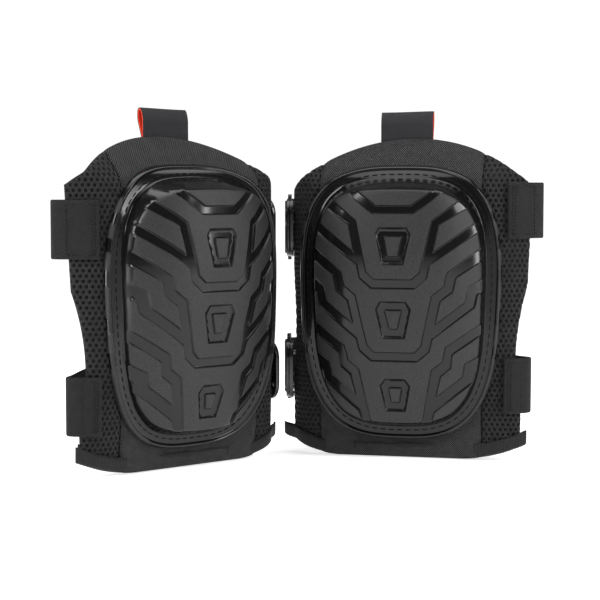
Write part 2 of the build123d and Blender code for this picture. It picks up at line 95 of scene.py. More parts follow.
def add_piece(side, name, shape, material, body=None, node=None):
    """Make one mesh object of a pad from a local shape, attach it to its body when one is given, and hide
    the node that it replaces.
    """
    faces = turned_over(shape["faces"], PADS[side]["hand"])
    mesh = bpy.data.meshes.new(f"{side}_{name}")
    mesh.from_pydata(to_world(side, shape["verts"]).tolist(), [], faces)
    mesh.materials.append(MATERIALS[material])
    mesh.shade_smooth()
    if "uv" in shape:
        corner = np.zeros(len(mesh.loops), np.int32)
        mesh.loops.foreach_get("vertex_index", corner)
        layer = mesh.uv_layers.new(name="cloth")
        layer.data.foreach_set("uv", np.asarray(shape["uv"], np.float32)[corner].ravel())
    if "land" in shape:
        layer = mesh.attributes.new("land", "FLOAT", "POINT")
        layer.data.foreach_set("value", np.asarray(shape["land"], np.float32))
    if "normals" in shape:
        known, normals = shape["normals"]
        own = np.array([n.vector for n in mesh.vertex_normals])
        own[known] = turn_world(side, normals[known])
        mesh.normals_split_custom_set_from_vertices(own.tolist())
    if "weld" in shape:
        clean = bmesh.new()
        clean.from_mesh(mesh)
        bmesh.ops.remove_doubles(clean, verts=clean.verts, dist=shape["weld"] / 1000)
        bmesh.ops.dissolve_degenerate(clean, edges=clean.edges, dist=shape["weld"] / 1000)
        clean.to_mesh(mesh)
        clean.free()
    piece = place(mesh.name, mesh)
    if body:
        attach(piece, body)
    if node:
        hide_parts(f"{side}_{node}")
    return piece


def shell(front, back, uv):
    """Closed skin between two grids of points; rows run up, columns run to the outer side."""
    rows, cols = front.shape[:2]
    n = rows * cols
    faces = []
    for j in range(rows - 1):
        for a in range(j * cols, j * cols + cols - 1):
            faces.append((a, a + 1, a + cols + 1, a + cols))
            faces.append((n + a, n + a + cols, n + a + cols + 1, n + a + 1))
    rim = list(range(cols)) + [j * cols + cols - 1 for j in range(1, rows)]
    rim += [n - 1 - i for i in range(1, cols)] + [j * cols for j in range(rows - 2, 0, -1)]
    for a, b in zip(rim, rim[1:] + rim[:1]):
        faces.append((b, a, n + a, n + b))
    return {"verts": np.concatenate([front.reshape(-1, 3), back.reshape(-1, 3)]), "faces": faces,
            "uv": np.tile(uv.reshape(-1, 2), (2, 1))}


def unit(v):
    return v / np.maximum(np.linalg.norm(v, axis=-1, keepdims=True), 1e-9)


def running(points):
    """Distance along a line of points at each of them."""
    return np.concatenate([[0], np.cumsum(np.linalg.norm(np.diff(points, axis=0), axis=1))])


def resampled(line, at, distance):
    """Points of a line at the given distances along it."""
    return np.column_stack([np.interp(distance, at, column) for column in line.T])


def smoothstep(x, low, high):
    t = np.clip((np.asarray(x, float) - low) / (high - low), 0, 1)
    return t * t * (3 - 2 * t)


def curve(points, count):
    """Even points along a smooth line through the given ones (any number of columns)."""
    p = np.asarray(points, float)
    p = np.concatenate([[2 * p[0] - p[1]], p, [2 * p[-1] - p[-2]]])
    dense = []
    for a, b, c, d in zip(p, p[1:], p[2:], p[3:]):
        for t in np.arange(0, 1, 1 / 12):
            dense.append(0.5 * (2 * b + (c - a) * t + (2 * a - 5 * b + 4 * c - d) * t * t
                                + (3 * b - a - 3 * c + d) * t ** 3))
    dense = np.array(dense + [p[-2]])
    at = running(dense[:, :2])
    return resampled(dense, at, np.linspace(0, at[-1], count))


THREAD_RINGS = (            # place along a stitch, and its thickness there
    (-0.02, 0.35), (0.12, 0.8), (0.35, 1), (0.65, 1), (0.88, 0.8), (1.02, 0.35),
)


def capsules(starts, ends, normals, radius):
    """Short threads lying on a surface, each a flattened capsule of six-sided rings."""
    last = 6 * (len(THREAD_RINGS) - 1)
    capsule = [tuple(range(5, -1, -1)), tuple(range(last, last + 6))]
    for ring in range(0, last, 6):
        for k in range(6):
            c, d = ring + k, ring + (k + 1) % 6
            capsule.append((c, d, d + 6, c + 6))
    verts, faces = [], []
    for a, b, n in zip(starts, ends, normals):
        along = unit(b - a)
        across = unit(np.cross(along, n))
        up = np.cross(across, along)
        faces += [tuple(i + len(verts) for i in face) for face in capsule]
        for t, r in THREAD_RINGS:
            middle = a + (b - a) * t - up * (1 - r) * radius * 1.1
            for angle in np.arange(6) * pi / 3:
                verts.append(middle + (across * cos(angle) + up * sin(angle)) * radius * r)
    return {"verts": np.array(verts), "faces": faces, "uv": np.zeros((len(verts), 2))}


# ------------------------------------------------------------------ sleeve surface
FLAT_HALF, PANEL_HALF = 58.0, 64.0
BENDS = {1: (60.0, radians(49), 0.2), -1: (33.0, radians(80), 6.0)}
TOP_RADIUS, TOP_CENTRE_U, TOP_CENTRE_Z = 138.0, 7.0, 118.5
BASE_HALF, TIP_HALF, FLOOR_GAP = 48.0, 101.0, 1.2
OUTER_LIFT, INNER_LIFT = 13.0, 19.0     # how much the bottom edge rises at the wing tips
SIDE_MIDDLE, SIDE_RADIUS = 144.5, 900.0
ROLL_START, ROLL_RADIUS, ROLL_LEAN = 212.5, 22.0, radians(45)
WING_TIP_Z, WING_TAPER = 199.0, {1: radians(3.3), -1: radians(2.8)}
WAIST = {1: (87.0, 170.0, 8.0), -1: (110.0, 110.0, 9.5)}    # height, radius, depth
ROUND = 3.0                 # how softly the plan curve and the side curve run together
LOW_BOW = 1.9               # power of the bottom edge's rise towards the tips


def plan(s):
    """Plan point and turn of the sleeve at a distance s from its middle."""
    u = np.array(s, float)
    y, turn = np.zeros_like(u), np.zeros_like(u)
    for way, (bend, most, _) in BENDS.items():
        past = np.maximum(s * way - FLAT_HALF, 0)
        a = np.minimum(past / bend, most)
        rest = past - bend * a
        on = past > 0
        u = np.where(on, way * (FLAT_HALF + bend * np.sin(a) + rest * np.cos(a)), u)
        y = np.where(on, bend - bend * np.cos(a) + rest * np.sin(a), y)
        turn = np.where(on, way * a, turn)
    return u, y, turn


def side_curve(z):
    """How far back the sleeve stands at a height, and its lean."""
    start = (ROLL_START - SIDE_MIDDLE) / SIDE_RADIUS
    lean = (np.minimum(z, ROLL_START) - SIDE_MIDDLE) / SIDE_RADIUS
    y = lean ** 2 * SIDE_RADIUS / 2
    over = np.maximum(z - ROLL_START, 0)
    rolled = np.arcsin(np.minimum(sin(start) + over / ROLL_RADIUS, sin(ROLL_LEAN)))
    beyond = np.maximum(over - ROLL_RADIUS * (sin(ROLL_LEAN) - sin(start)), 0)
    y = y + beyond + np.where(over > 0, ROLL_RADIUS * (cos(start) - np.cos(rolled)), 0)
    return y, np.where(over > 0, rolled, lean)


def sleeve(s, z, depth=0.0):
    """Point at a depth behind the sleeve's front surface."""
    s, z, depth = np.broadcast_arrays(s, z, depth)
    u, plan_y, turn = plan(s)
    side_y, lean = side_curve(z)
    y = (plan_y ** ROUND + side_y ** ROUND) ** (1 / ROUND)
    share = np.maximum(y, 1e-6)
    nu = (plan_y / share) ** (ROUND - 1) * np.sin(turn)
    nz = (side_y / share) ** (ROUND - 1) * np.cos(turn) * np.tan(lean)
    normal = unit(np.stack([nu, -np.cos(turn), nz], axis=-1))
    return np.stack([u, y, z], axis=-1) - normal * depth[..., None]


def outward(s, z):
    return unit(sleeve(s, z, -1.0) - sleeve(s, z, 0.0))


def top_edge(u):
    return TOP_CENTRE_Z + np.sqrt(np.maximum(TOP_RADIUS ** 2 - (u - TOP_CENTRE_U) ** 2, 1))


def low_edge(u, lift=FLOOR_GAP):
    out = np.clip((np.abs(u) - BASE_HALF) / (TIP_HALF - BASE_HALF), 0, 1.1)
    return lift + np.where(np.asarray(u) > 0, OUTER_LIFT, INNER_LIFT) * out ** LOW_BOW


def reach(z, way):
    """Distance from the sleeve's middle to the wing's rear edge at a height."""
    bend, most, tail = BENDS[way]
    taper = (WING_TIP_Z - z) * sin(WING_TAPER[way])
    height, radius, depth = WAIST[way]
    chord = np.sqrt(np.maximum(radius ** 2 - (z - height) ** 2, 1))
    waist = np.maximum(chord - (radius - depth), 0)
    return FLAT_HALF + bend * most + tail - taper - waist


def edge_round(distance, radius):
    """0 at an edge, rising to 1 one radius in, as a quarter circle."""
    t = 1 - np.clip(distance / radius, 0, 1)
    return np.sqrt(np.maximum(1 - t * t, 0))


# ------------------------------------------------------------------ materials
class Shader:
    """A principled material with short calls for its nodes."""

    def __init__(self, name, **sockets):
        self.material = bpy.data.materials.new(name)
        self.material.use_nodes = True
        self.tree = self.material.node_tree
        self.base = self.tree.nodes["Principled BSDF"]
        for key, value in sockets.items():
            self.base.inputs[key.replace("_", " ").title().replace("Ior", "IOR")].default_value = value

    def node(self, kind, **settings):
        made = self.tree.nodes.new(kind)
        for key, value in settings.items():
            setattr(made, key, value)
        return made

    def put(self, socket, value):
        if hasattr(value, "links"):
            self.tree.links.new(value, socket)
        else:
            socket.default_value = value

    def math(self, operation, *values):
        made = self.node("ShaderNodeMath", operation=operation)
        for socket, value in zip(made.inputs, values):
            self.put(socket, value)
        return made.outputs[0]

    def cloth_xy(self):
        """Position along and up the cloth, in millimetres."""
        split = self.node("ShaderNodeSeparateXYZ")
        self.put(split.inputs[0], self.node("ShaderNodeUVMap", uv_map="cloth").outputs[0])
        return split.outputs[0], split.outputs[1]

    def add(self, *values):
        return self.math("ADD", *values)

    def times(self, *values):
        return self.math("MULTIPLY", *values)

    def position(self):
        return self.node("ShaderNodeTexCoord").outputs["Object"]

    def noise(self, scale, detail=2.0, stretch=None):
        made = self.node("ShaderNodeTexNoise")
        self.put(made.inputs["Scale"], scale)
        self.put(made.inputs["Detail"], detail)
        where = self.position()
        if stretch:
            mapping = self.node("ShaderNodeMapping")
            self.put(mapping.inputs["Scale"], stretch)
            self.put(mapping.inputs[0], where)
            where = mapping.outputs[0]
        self.put(made.inputs["Vector"], where)
        return made.outputs["Fac"]

    def wave(self, value, period, power=1.0):
        """0 to 1 and back once in each period."""
        turn = self.times(value, pi / period)
        return self.math("POWER", self.math("ABSOLUTE", self.math("SINE", turn)), power)

    def ramp(self, value, low, high, colours):
        made = self.node("ShaderNodeValToRGB")
        for element, position, colour in zip(made.color_ramp.elements, (low, high), colours):
            element.position = position
            element.color = (*colour, 1)
        self.put(made.inputs[0], value)
        return made.outputs[0]

    def colour(self, value, low, high, colours):
        self.put(self.base.inputs["Base Color"], self.ramp(value, low, high, colours))

    def roughness(self, value, low, high):
        made = self.node("ShaderNodeMapRange")
        self.put(made.inputs[0], value)
        self.put(made.inputs["To Min"], low)
        self.put(made.inputs["To Max"], high)
        self.put(self.base.inputs["Roughness"], made.outputs[0])

    def bump(self, height, distance, strength=1.0):
        """Bump in metres; a second call lies on top of the first."""
        made = self.node("ShaderNodeBump")
        self.put(made.inputs["Distance"], distance)
        self.put(made.inputs["Strength"], strength)
        self.put(made.inputs["Height"], height)
        normal = self.base.inputs["Normal"]
        if normal.links:
            self.put(made.inputs["Normal"], normal.links[0].from_socket)
        self.put(normal, made.outputs[0])


def grey(level, blue=None):
    return level, level, blue or level


def cap_material(name, low, high):
    """Gloss moulding, with a fine matt grain on the raised fields."""
    s = Shader(name, specular_ior_level=0.3)
    land = s.node("ShaderNodeAttribute", attribute_name="land").outputs["Fac"]
    grain = s.noise(1500.0, 1.0)
    haze = s.noise(45.0, 3.0)
    s.colour(s.times(land, s.math("SUBTRACT", grain, 0.25)), 0.0, 0.45, (low, high))
    wear = s.times(haze, 0.1)
    s.roughness(s.add(s.times(land, 0.85), wear), 0.13, 0.55)
    s.bump(s.times(land, grain), 0.00022)
    s.bump(s.noise(90.0, 2.0), 0.0003, 0.12)
    return s.material


def diamond_material(name, low, high):
    s = Shader(name, specular_ior_level=0.18, sheen_weight=0.03, sheen_roughness=0.4)
    x, y = s.cloth_xy()
    cell = s.times(s.wave(s.add(x, y), 1.75, 0.8), s.wave(s.math("SUBTRACT", x, y), 1.75, 0.8))
    drift = s.noise(160.0, 3.0)
    s.colour(s.times(s.math("POWER", cell, 1.4), s.add(drift, 0.45)), 0.2, 0.75, (low, high))
    s.roughness(cell, 0.75, 0.42)
    s.bump(cell, 0.0009)
    return s.material


def air_mesh_material(name, low, high):
    s = Shader(name, specular_ior_level=0.2, sheen_weight=0.03, sheen_roughness=0.35)
    x, y = s.cloth_xy()
    knit = s.times(s.wave(x, 0.75), s.wave(s.add(y, s.times(x, 0.5)), 0.9))
    drift = s.noise(120.0, 3.0)
    s.colour(s.times(knit, s.add(drift, 0.4)), 0.1, 0.9, (low, high))
    s.roughness(knit, 0.7, 0.45)
    s.bump(knit, 0.0003)
    return s.material


def knit_material(name, low, high, pitch):
    s = Shader(name, specular_ior_level=0.15, sheen_weight=0.06, sheen_roughness=0.5)
    x, y = s.cloth_xy()
    knit = s.times(s.wave(x, pitch), s.wave(y, pitch * 0.8))
    fuzz = s.noise(900.0, 3.0)
    drift = s.noise(35.0, 3.0)
    s.colour(s.add(s.times(knit, 0.5), s.times(s.times(fuzz, drift), 1.6)), 0.15, 1.0, (low, high))
    s.roughness(fuzz, 0.95, 0.7)
    s.bump(knit, 0.0003)
    s.bump(fuzz, 0.0004, 0.5)
    return s.material


def ribbed_material(name, low, high, pitch, gloss=0.5, distance=0.0005, cross=0.0):
    """Narrow woven tape with ribs across its length."""
    s = Shader(name, specular_ior_level=0.2, sheen_weight=0.03, sheen_roughness=0.4)
    x, y = s.cloth_xy()
    rib = s.wave(x, pitch, 0.7)
    pick = s.wave(y, pitch * 0.55, 0.6)
    height = s.add(s.times(rib, 1 - cross), s.times(pick, 0.25 + cross))
    drift = s.noise(220.0, 3.0)
    s.colour(s.times(height, s.add(drift, 0.45)), 0.1, 1.05, (low, high))
    s.roughness(height, 0.85, gloss)
    s.bump(height, distance)
    return s.material


def webbing_material(name, low, high):
    """Twill that runs slantwise and wanders a little, crossed by picks."""
    s = Shader(name, specular_ior_level=0.16, sheen_weight=0.03, sheen_roughness=0.4)
    x, y = s.cloth_xy()
    shear = s.times(s.wave(y, 11.0), 1.6)
    twill = s.wave(s.add(x, s.add(s.times(y, 1.0), shear)), 1.5, 0.7)
    pick = s.wave(s.math("SUBTRACT", y, s.times(x, 0.15)), 0.95, 0.6)
    weave = s.times(twill, pick)
    drift = s.noise(200.0, 3.0)
    s.colour(s.times(weave, s.add(drift, 0.5)), 0.05, 0.95, (low, high))
    s.roughness(weave, 0.85, 0.55)
    s.bump(weave, 0.0004)
    return s.material


def plastic_material(name, colour, rough):
    s = Shader(name, specular_ior_level=0.55)
    cloud = s.noise(60.0, 4.0)
    fine = s.noise(1800.0, 2.0)
    s.colour(cloud, 0.3, 0.75, (colour, tuple(c * 1.6 + 0.002 for c in colour)))
    s.roughness(cloud, rough, rough + 0.16)
    s.bump(fine, 0.00008, 0.5)
    return s.material


def metal_material(name, low, high):
    s = Shader(name, metallic=1.0)
    scratch = s.noise(700.0, 3.0, (1.0, 1.0, 0.12))
    s.colour(scratch, 0.3, 0.7, (low, high))
    s.roughness(scratch, 0.22, 0.42)
    s.bump(scratch, 0.00005, 0.4)
    return s.material


def foam_material(name, low, high, scale, rough):
    s = Shader(name, specular_ior_level=0.3)
    made = s.node("ShaderNodeTexVoronoi")
    s.put(made.inputs["Scale"], scale)
    s.put(made.inputs["Vector"], s.position())
    cells = made.outputs["Distance"]
    s.colour(cells, 0.0, 0.7, (low, high))
    s.roughness(cells, rough, min(rough + 0.2, 1.0))
    s.bump(cells, 0.0004)
    return s.material


MATERIALS = {
    "cap": cap_material("moulded_cap", grey(0.004, 0.0042), grey(0.027, 0.028)),
    "panel": diamond_material("diamond_mesh", grey(0.0008), grey(0.072, 0.075)),
    "air_mesh": air_mesh_material("air_mesh", grey(0.002, 0.0021), grey(0.034, 0.0355)),
    "backing": knit_material("mesh_backing", grey(0.003), grey(0.014, 0.0145), 1.1),
    "lining": knit_material("brushed_lining", grey(0.008, 0.0085), grey(0.036, 0.038), 1.4),
    "binding": ribbed_material("binding_tape", grey(0.0015, 0.0016), grey(0.014, 0.0147), 1.25),
    "webbing": webbing_material("webbing", grey(0.0015, 0.0016), grey(0.022, 0.023)),
    "ribbon": ribbed_material("tab_ribbon", grey(0.007, 0.0085), grey(0.019, 0.022), 0.5,
                              distance=0.00012, cross=0.3),
    "tab_lining": ribbed_material("tab_inner", (0.42, 0.02, 0.008), (0.9, 0.075, 0.03), 0.8,
                                  distance=0.0002, cross=0.3),
    "thread": ribbed_material("thread", grey(0.003), grey(0.012, 0.0125), 0.6, 0.45, 0.0001),
    "grip": foam_material("hook_tape", grey(0.004), grey(0.03), 1300.0, 0.75),
    "clip": plastic_material("clip_plastic", grey(0.007, 0.0075), 0.16),
    "rivet": metal_material("rivet_metal", grey(0.09, 0.095), grey(0.2, 0.21)),
    "foam": foam_material("foam", grey(0.02, 0.022), grey(0.06, 0.065), 900.0, 0.8),
    "gel": foam_material("gel", (0.03, 0.05, 0.075), (0.05, 0.09, 0.13), 150.0, 0.25),
}


# ------------------------------------------------------------------ hard cap
CAP_Z, CAP_TALL, CAP_WIDE, CAP_SLOPE = 124.2, 108.3, 79.5, 0.04
CAP_SEAT, FLANGE, BEAD_WIDTH, BEAD_RISE = 0.3, 2.4, 4.0, 4.2
CHANNEL_LINE = 7.2          # stitched line, in from the cap's edge
WALL_START, WALL_SLOPE = 9.8, 3.6
GROOVE, SHOULDER, CAP_THICK = 2.1, 9.0, 2.2
GRID, LONGEST_EDGE = 2.0, 3.5           # spacing of the cap's points; no line joins points further apart
RIM_RINGS = (               # insets of the lines round the flange, bead, channel and wall
    0, 0.12, 0.4, 0.8, 1.4, 2.0, 2.6, 3.2, 3.6, 3.88, 4.05, 5.2, 7.2, 9.2,
    9.9, 10.3, 10.7, 11.1, 11.5, 11.9,
)
FIELD_RINGS = (-0.5, -0.05, 0.35, 0.8, 1.25)    # distances of the lines that follow a field's edge
LIP_CLEAR = 0.5             # how far past the wall's line the wall's rings reach
MOTIF_Z = 127.5             # height of the middle badge's top edge, from which the pattern is set out
CROWN = (                   # height, half-width, front of the dome on its middle line
    (23, 30, -9.5), (31, 38, -12.5), (40, 48, -14.5), (66.5, 59.5, -21), (98.5, 66, -28),
    (127.5, 69.5, -32), (155.5, 70.5, -35), (184.5, 67.5, -33.4), (201.5, 63, -32), (212.5, 58, -30.8),
    (223, 50, -29.5),
)
# raised fields of the pattern, right half; those that start on the middle line are mirrored whole
FIELDS_MIDDLE = (
    ((0, 73.9), (13.3, 73.9), (34, 89), (45, 97), (45, 108), (0, 108)),
    ((0, 17.3), (14.3, 17.3), (20.3, 22.7), (28.8, 62), (51.8, 79.8), (66, 90.8), (58, 97.6),
     (43.5, 87), (35, 80.9), (16.4, 66.9), (0, 66.9)),
    ((0, -39.7), (15.6, -39.7), (20.6, -34.3), (29.2, 4.6), (38.5, 12.1), (40.6, 22.2), (66, 42),
     (80, 53), (80, 64.2), (67, 55), (28.6, 27.7), (26.6, 17.6), (17.1, 9.4), (0, 9.4)),
    ((0, -110), (17, -110), (19.4, -98), (28, -53.6), (36.5, -46.9), (39, -35.5), (68.3, -15.2),
     (80, -7), (80, 15), (69, 8), (63.5, 4.6), (61.5, -5.1), (30, -29.6), (27.6, -39.4),
     (18.3, -47.5), (0, -47.5)),
)
FIELDS_SIDE = (
    ((31.5, 39), (64, 62.8), (74, 70), (69, 79.6), (59, 73.3), (35.6, 58.6)),
    ((32.6, -17), (53.7, -0.7), (56, 10.9), (65, 17.1), (80, 27.5), (80, 39.8), (68, 31.5),
     (48.2, 17.9), (45.9, 7.1), (36.6, 0)),
    ((32, -74.4), (51, -59.5), (53, -49), (65, -42), (78, -33), (78, -18.5), (65.8, -27),
     (44.8, -41.8), (43.5, -52.5), (35.8, -58.8)),
    ((27, -98), (25, -112), (70, -112), (82, -60), (74, -44), (63, -54), (61, -57), (59.3, -64.6),
     (30.2, -87.9)),
)
# badges: outline of the recess, then of the raised middle, as (height, half-width)
BADGES = (
    (((57, 10.8), (51.7, 14), (27.8, 8.6)), ((49.4, 6.3), (35, 3.6))),
    (((0, 10.2), (-6, 14.1), (-29.3, 8.9)), ((-7.4, 6.2), (-21.3, 2.7))),
    (((-60.9, 7.9), (-66.6, 12.2), (-87.3, 7.9)), ((-68.7, 4.6), (-79.5, 2.9))),
)


def whole(half):
    """Outline of both sides, from its right half."""
    half = np.array(half, float)
    left = half[half[:, 0] > 0][::-1] * (-1, 1)
    return np.concatenate([half, left])


def fields():
    """Raised fields, sunken badges and the badges' raised middles, each counter-clockwise."""
    raised = [whole(half) for half in FIELDS_MIDDLE]
    for half in FIELDS_SIDE:
        raised += [np.array(half, float), np.array(half, float)[::-1] * (-1, 1)]
    sunk, middles = ([whole(np.array(rows)[::-1, ::-1]) for rows in part] for part in zip(*BADGES))
    return [[outline + (0, MOTIF_Z) for outline in group] for group in (raised, sunk, middles)]


RAISED, SUNK, MIDDLES = fields()
PATTERN = RAISED + MIDDLES + SUNK


def inside(points, polygon):
    x, y = points.T
    hit = np.zeros(len(points), bool)
    for (ax, ay), (bx, by) in zip(polygon, np.roll(polygon, -1, axis=0)):
        if ay != by:
            crosses = (ay > y) != (by > y)
            hit ^= crosses & (x < (bx - ax) * (y - ay) / (by - ay) + ax)
    return hit


def edge_distance(points, polygon):
    best = np.full(len(points), np.inf)
    for a, b in zip(polygon, np.roll(polygon, -1, axis=0)):
        d = b - a
        t = np.clip(((points - a) @ d) / (d @ d), 0, 1)
        best = np.minimum(best, np.hypot(*(points - a - t[:, None] * d).T))
    return best


def field_distance(points):
    """Distance to the pattern's edge, positive on raised fields."""
    high = np.zeros(len(points), bool)
    for group, level in ((RAISED, True), (SUNK, False), (MIDDLES, True)):
        for polygon in group:
            high[inside(points, polygon)] = level
    far = np.min([edge_distance(points, polygon) for polygon in PATTERN], axis=0)
    return np.where(high, far, -far)


def cap_edge(inset, count):
    """Outline of the cap, a rounded rectangle of power 3."""
    a = 2 * pi * np.arange(count * 4) / (count * 4)
    z = (CAP_TALL - inset) * np.sign(np.sin(a)) * np.abs(np.sin(a)) ** (2 / 3)
    u = (CAP_WIDE - inset + CAP_SLOPE * z) * np.sign(np.cos(a)) * np.abs(np.cos(a)) ** (2 / 3)
    loop = np.column_stack([u, z + CAP_Z])
    loop = np.concatenate([loop, loop[:1]])
    at = running(loop)
    return resampled(loop, at, np.linspace(0, at[-1], count, endpoint=False))


OUTLINE = cap_edge(0, 300)


def seat(u, z):
    """Front of the fabric that the cap sits on; it bends equally on both sides."""
    bend = BENDS[1][0]
    past = np.clip(np.abs(u) - FLAT_HALF, 0, bend - 1)
    plan_y = bend - np.sqrt(bend ** 2 - past ** 2)
    return (plan_y ** ROUND + side_curve(z)[0] ** ROUND) ** (1 / ROUND)


def crown(u, z):
    """Front of the domed part without its pattern."""
    heights, halves, fronts = np.array(CROWN, float).T
    near = z + np.arange(-9, 10, 3)[:, None]        # the rows are averaged over a few heights
    middle, half = (np.interp(near, heights, row).mean(axis=0) for row in (fronts, halves))
    edge = seat(half, z) - SHOULDER
    return middle + (edge - middle) * (np.abs(u) / half) ** 2.9


def cap_wall(points, inset):
    """Front of the dome's side wall, and the inset at which it starts."""
    u, z = points.T
    sideways = np.abs(u) / (np.abs(u) + np.abs(z - CAP_Z) * 0.6 + 1)
    start = WALL_START + 1.4 * sideways
    rise = np.maximum(inset - start, 0)
    return seat(u, z) - CAP_SEAT - FLANGE - rise * WALL_SLOPE * rise / (rise + 0.8), start


def cap_front(points):
    """Front surface of the cap over (u, z), how much of it is raised field, and its inset."""
    u, z = points.T
    inset = edge_distance(points, OUTLINE)
    base = seat(u, z) - CAP_SEAT
    bead = BEAD_RISE * np.sqrt(np.maximum(1 - ((inset - BEAD_WIDTH / 2) / (BEAD_WIDTH / 2)) ** 2, 0))
    flange = FLANGE * smoothstep(inset, 0, 0.5)
    low = base - np.maximum(bead, flange)
    wall, start = cap_wall(points, inset)
    sunk = smoothstep(-field_distance(points), -0.35, 1.15)
    dome = crown(u, z) + GROOVE * sunk
    soft = 1.1 + 1.3 * smoothstep(z, 185, 215)      # the lip is rounder at the top
    gap = np.clip((dome - wall) / soft, -30, 30)
    top = dome + soft * np.logaddexp(0, -gap)
    y = np.where(inset > start, np.minimum(top, base - FLANGE), low)
    on_dome = smoothstep(dome - wall, 0.3, 2.2)
    return y, (1 - sunk) * on_dome, inset


def offset_loop(polygon, distance):
    """Polygon with every edge moved outward by a distance."""
    d = unit(np.roll(polygon, -1, axis=0) - polygon)
    n = np.column_stack([d[:, 1], -d[:, 0]])
    mitre = n + np.roll(n, 1, axis=0)
    return polygon + mitre * (2 * distance / np.maximum((mitre ** 2).sum(axis=1), 0.5))[:, None]


def spread(loop, spacing):
    """Loop with extra points so that no side is longer than the spacing."""
    made = []
    for a, b in zip(loop, np.roll(loop, -1, axis=0)):
        count = max(1, round(float(np.linalg.norm(b - a)) / spacing))
        made += [a + (b - a) * k / count for k in range(count)]
    return np.array(made)


def triangulate(loops, grid):
    """Triangles over the first loop that follow the kept points of every loop."""
    points, edges = [], []
    for loop, keep in loops:
        loop = loop[keep]
        start, count = len(points), len(loop)
        points += [Vector(p) for p in loop]
        joins = np.linalg.norm(np.roll(loop, -1, axis=0) - loop, axis=1) < LONGEST_EDGE
        edges += [(start + i, start + (i + 1) % count) for i in range(count) if joins[i]]
    points += [Vector(p) for p in grid]
    made = delaunay_2d_cdt(points, edges, [], 1, 1e-4)
    return np.array([tuple(p) for p in made[0]]), [tuple(f) for f in made[2]]


def past_lip(points):
    """How far the dome's front stands back from its wall's line; negative on the wall."""
    return crown(*points.T) - cap_wall(points, edge_distance(points, OUTLINE))[0]


def cap_lines():
    """Lines that the cap's triangles follow, and the loose points between lip and dome."""
    loops = [(cap_edge(inset, 300), slice(None)) for inset in RIM_RINGS]
    near_lip = []
    for inset in np.arange(12.4, 27, 0.4):
        ring = cap_edge(inset, 290)
        past = past_lip(ring)
        loops.append((ring, past < LIP_CLEAR))
        near_lip.append(ring[(past >= LIP_CLEAR) & (past < 6)])
    for polygon in PATTERN:
        for distance in FIELD_RINGS:
            loop = spread(offset_loop(polygon, np.sign(cross_area(polygon)) * distance), GRID)
            keep = (edge_distance(loop, OUTLINE) > 12.6) & inside(loop, OUTLINE) & (past_lip(loop) > 0.8)
            loops.append((loop, keep))
    return loops, near_lip


def cap_grid():
    """Staggered points over the dome, clear of its lip."""
    us, zs = np.meshgrid(np.arange(-72, 73, GRID), np.arange(25, 226, GRID))
    us = us + np.where(np.arange(len(zs)) % 2, GRID / 2, 0)[:, None]
    grid = np.column_stack([us.ravel(), zs.ravel()])
    return grid[(past_lip(grid) > 6.5) & inside(grid, OUTLINE)]


def slope(points, step=0.12):
    """Normals of the cap's front."""
    (across, along) = (cap_front(points + way)[0] - cap_front(points - way)[0]
                       for way in (np.array((step, 0)), np.array((0, step))))
    return unit(np.column_stack([across / (2 * step), -np.ones(len(points)), along / (2 * step)]))


def cap_shape():
    """Front of the cap with its pattern, and its plain hollow back, as one closed skin."""
    loops, near_lip = cap_lines()
    grid = np.concatenate([cap_grid()] + near_lip)
    clear = np.abs(field_distance(grid) + 0.4) > 1.6
    grid = grid[clear | (edge_distance(grid, OUTLINE) < 12.0)]
    points, faces = triangulate(loops, grid)
    y, land, inset = cap_front(points)
    verts = np.column_stack([points[:, 0], y, points[:, 1]])
    faces = [f if turns_left(points, f) else f[::-1] for f in faces]

    coarse = grid[::5]
    ring = [(OUTLINE, slice(None)), (cap_edge(11.5, 150), slice(None))]
    rear, rear_faces = triangulate(ring, coarse[edge_distance(coarse, OUTLINE) > 5])
    rear_inset = edge_distance(rear, OUTLINE)
    base = seat(*rear.T) - CAP_SEAT
    hollow = np.minimum(base, crown(*rear.T) + GROOVE + CAP_THICK)
    rear_y = np.where(rear_inset > 14, hollow, base)
    index = {tuple(np.round(p, 3)): i for i, p in enumerate(points)}
    rename = [index[tuple(np.round(p, 3))] if d < 1e-3 else len(verts) + i
              for i, (p, d) in enumerate(zip(rear, rear_inset))]
    faces += [tuple(rename[i] for i in (f[::-1] if turns_left(rear, f) else f)) for f in rear_faces]
    verts = np.concatenate([verts, np.column_stack([rear[:, 0], rear_y, rear[:, 1]])])
    none = np.zeros(len(rear))
    verts, faces, used = drop_unused(verts, faces)
    land = np.concatenate([land, none])[used]
    normals = np.concatenate([slope(points), np.zeros((len(rear), 3))])[used]
    known = np.concatenate([inset > 11.2, none > 0])[used]
    return {"verts": verts, "faces": faces, "land": land, "normals": (known, normals)}


def cross_area(polygon):
    """Twice the area, positive where the points run counter-clockwise."""
    x, y = polygon.T
    return float(np.sum(x * np.roll(y, -1) - y * np.roll(x, -1)))


def turns_left(points, face):
    a, b, c = (points[i] for i in face[:3])
    return (b[0] - a[0]) * (c[1] - a[1]) - (b[1] - a[1]) * (c[0] - a[0]) > 0


def drop_unused(verts, faces):
    used = np.zeros(len(verts), bool)
    used[[i for f in faces for i in f]] = True
    place = np.cumsum(used) - 1
    return verts[used], [tuple(int(place[i]) for i in f) for f in faces], used


def cap_stitches():
    """Separate threads in the cap's channel."""
    ring = cap_edge(CHANNEL_LINE, 88 * 10)
    starts, ends = ring[0::10], ring[7::10]
    a = np.column_stack([starts[:, 0], cap_front(starts)[0] - 0.25, starts[:, 1]])
    b = np.column_stack([ends[:, 0], cap_front(ends)[0] - 0.25, ends[:, 1]])
    return capsules(a, b, np.tile([0.0, -1.0, 0.0], (len(a), 1)), 0.42)


# ------------------------------------------------------------------ floor, light and camera
FLOOR_GLOW = 0.66           # light given off by the floor near the pads; it rises to 1 further away
LOOK_AT = (0, 0, 0.12)


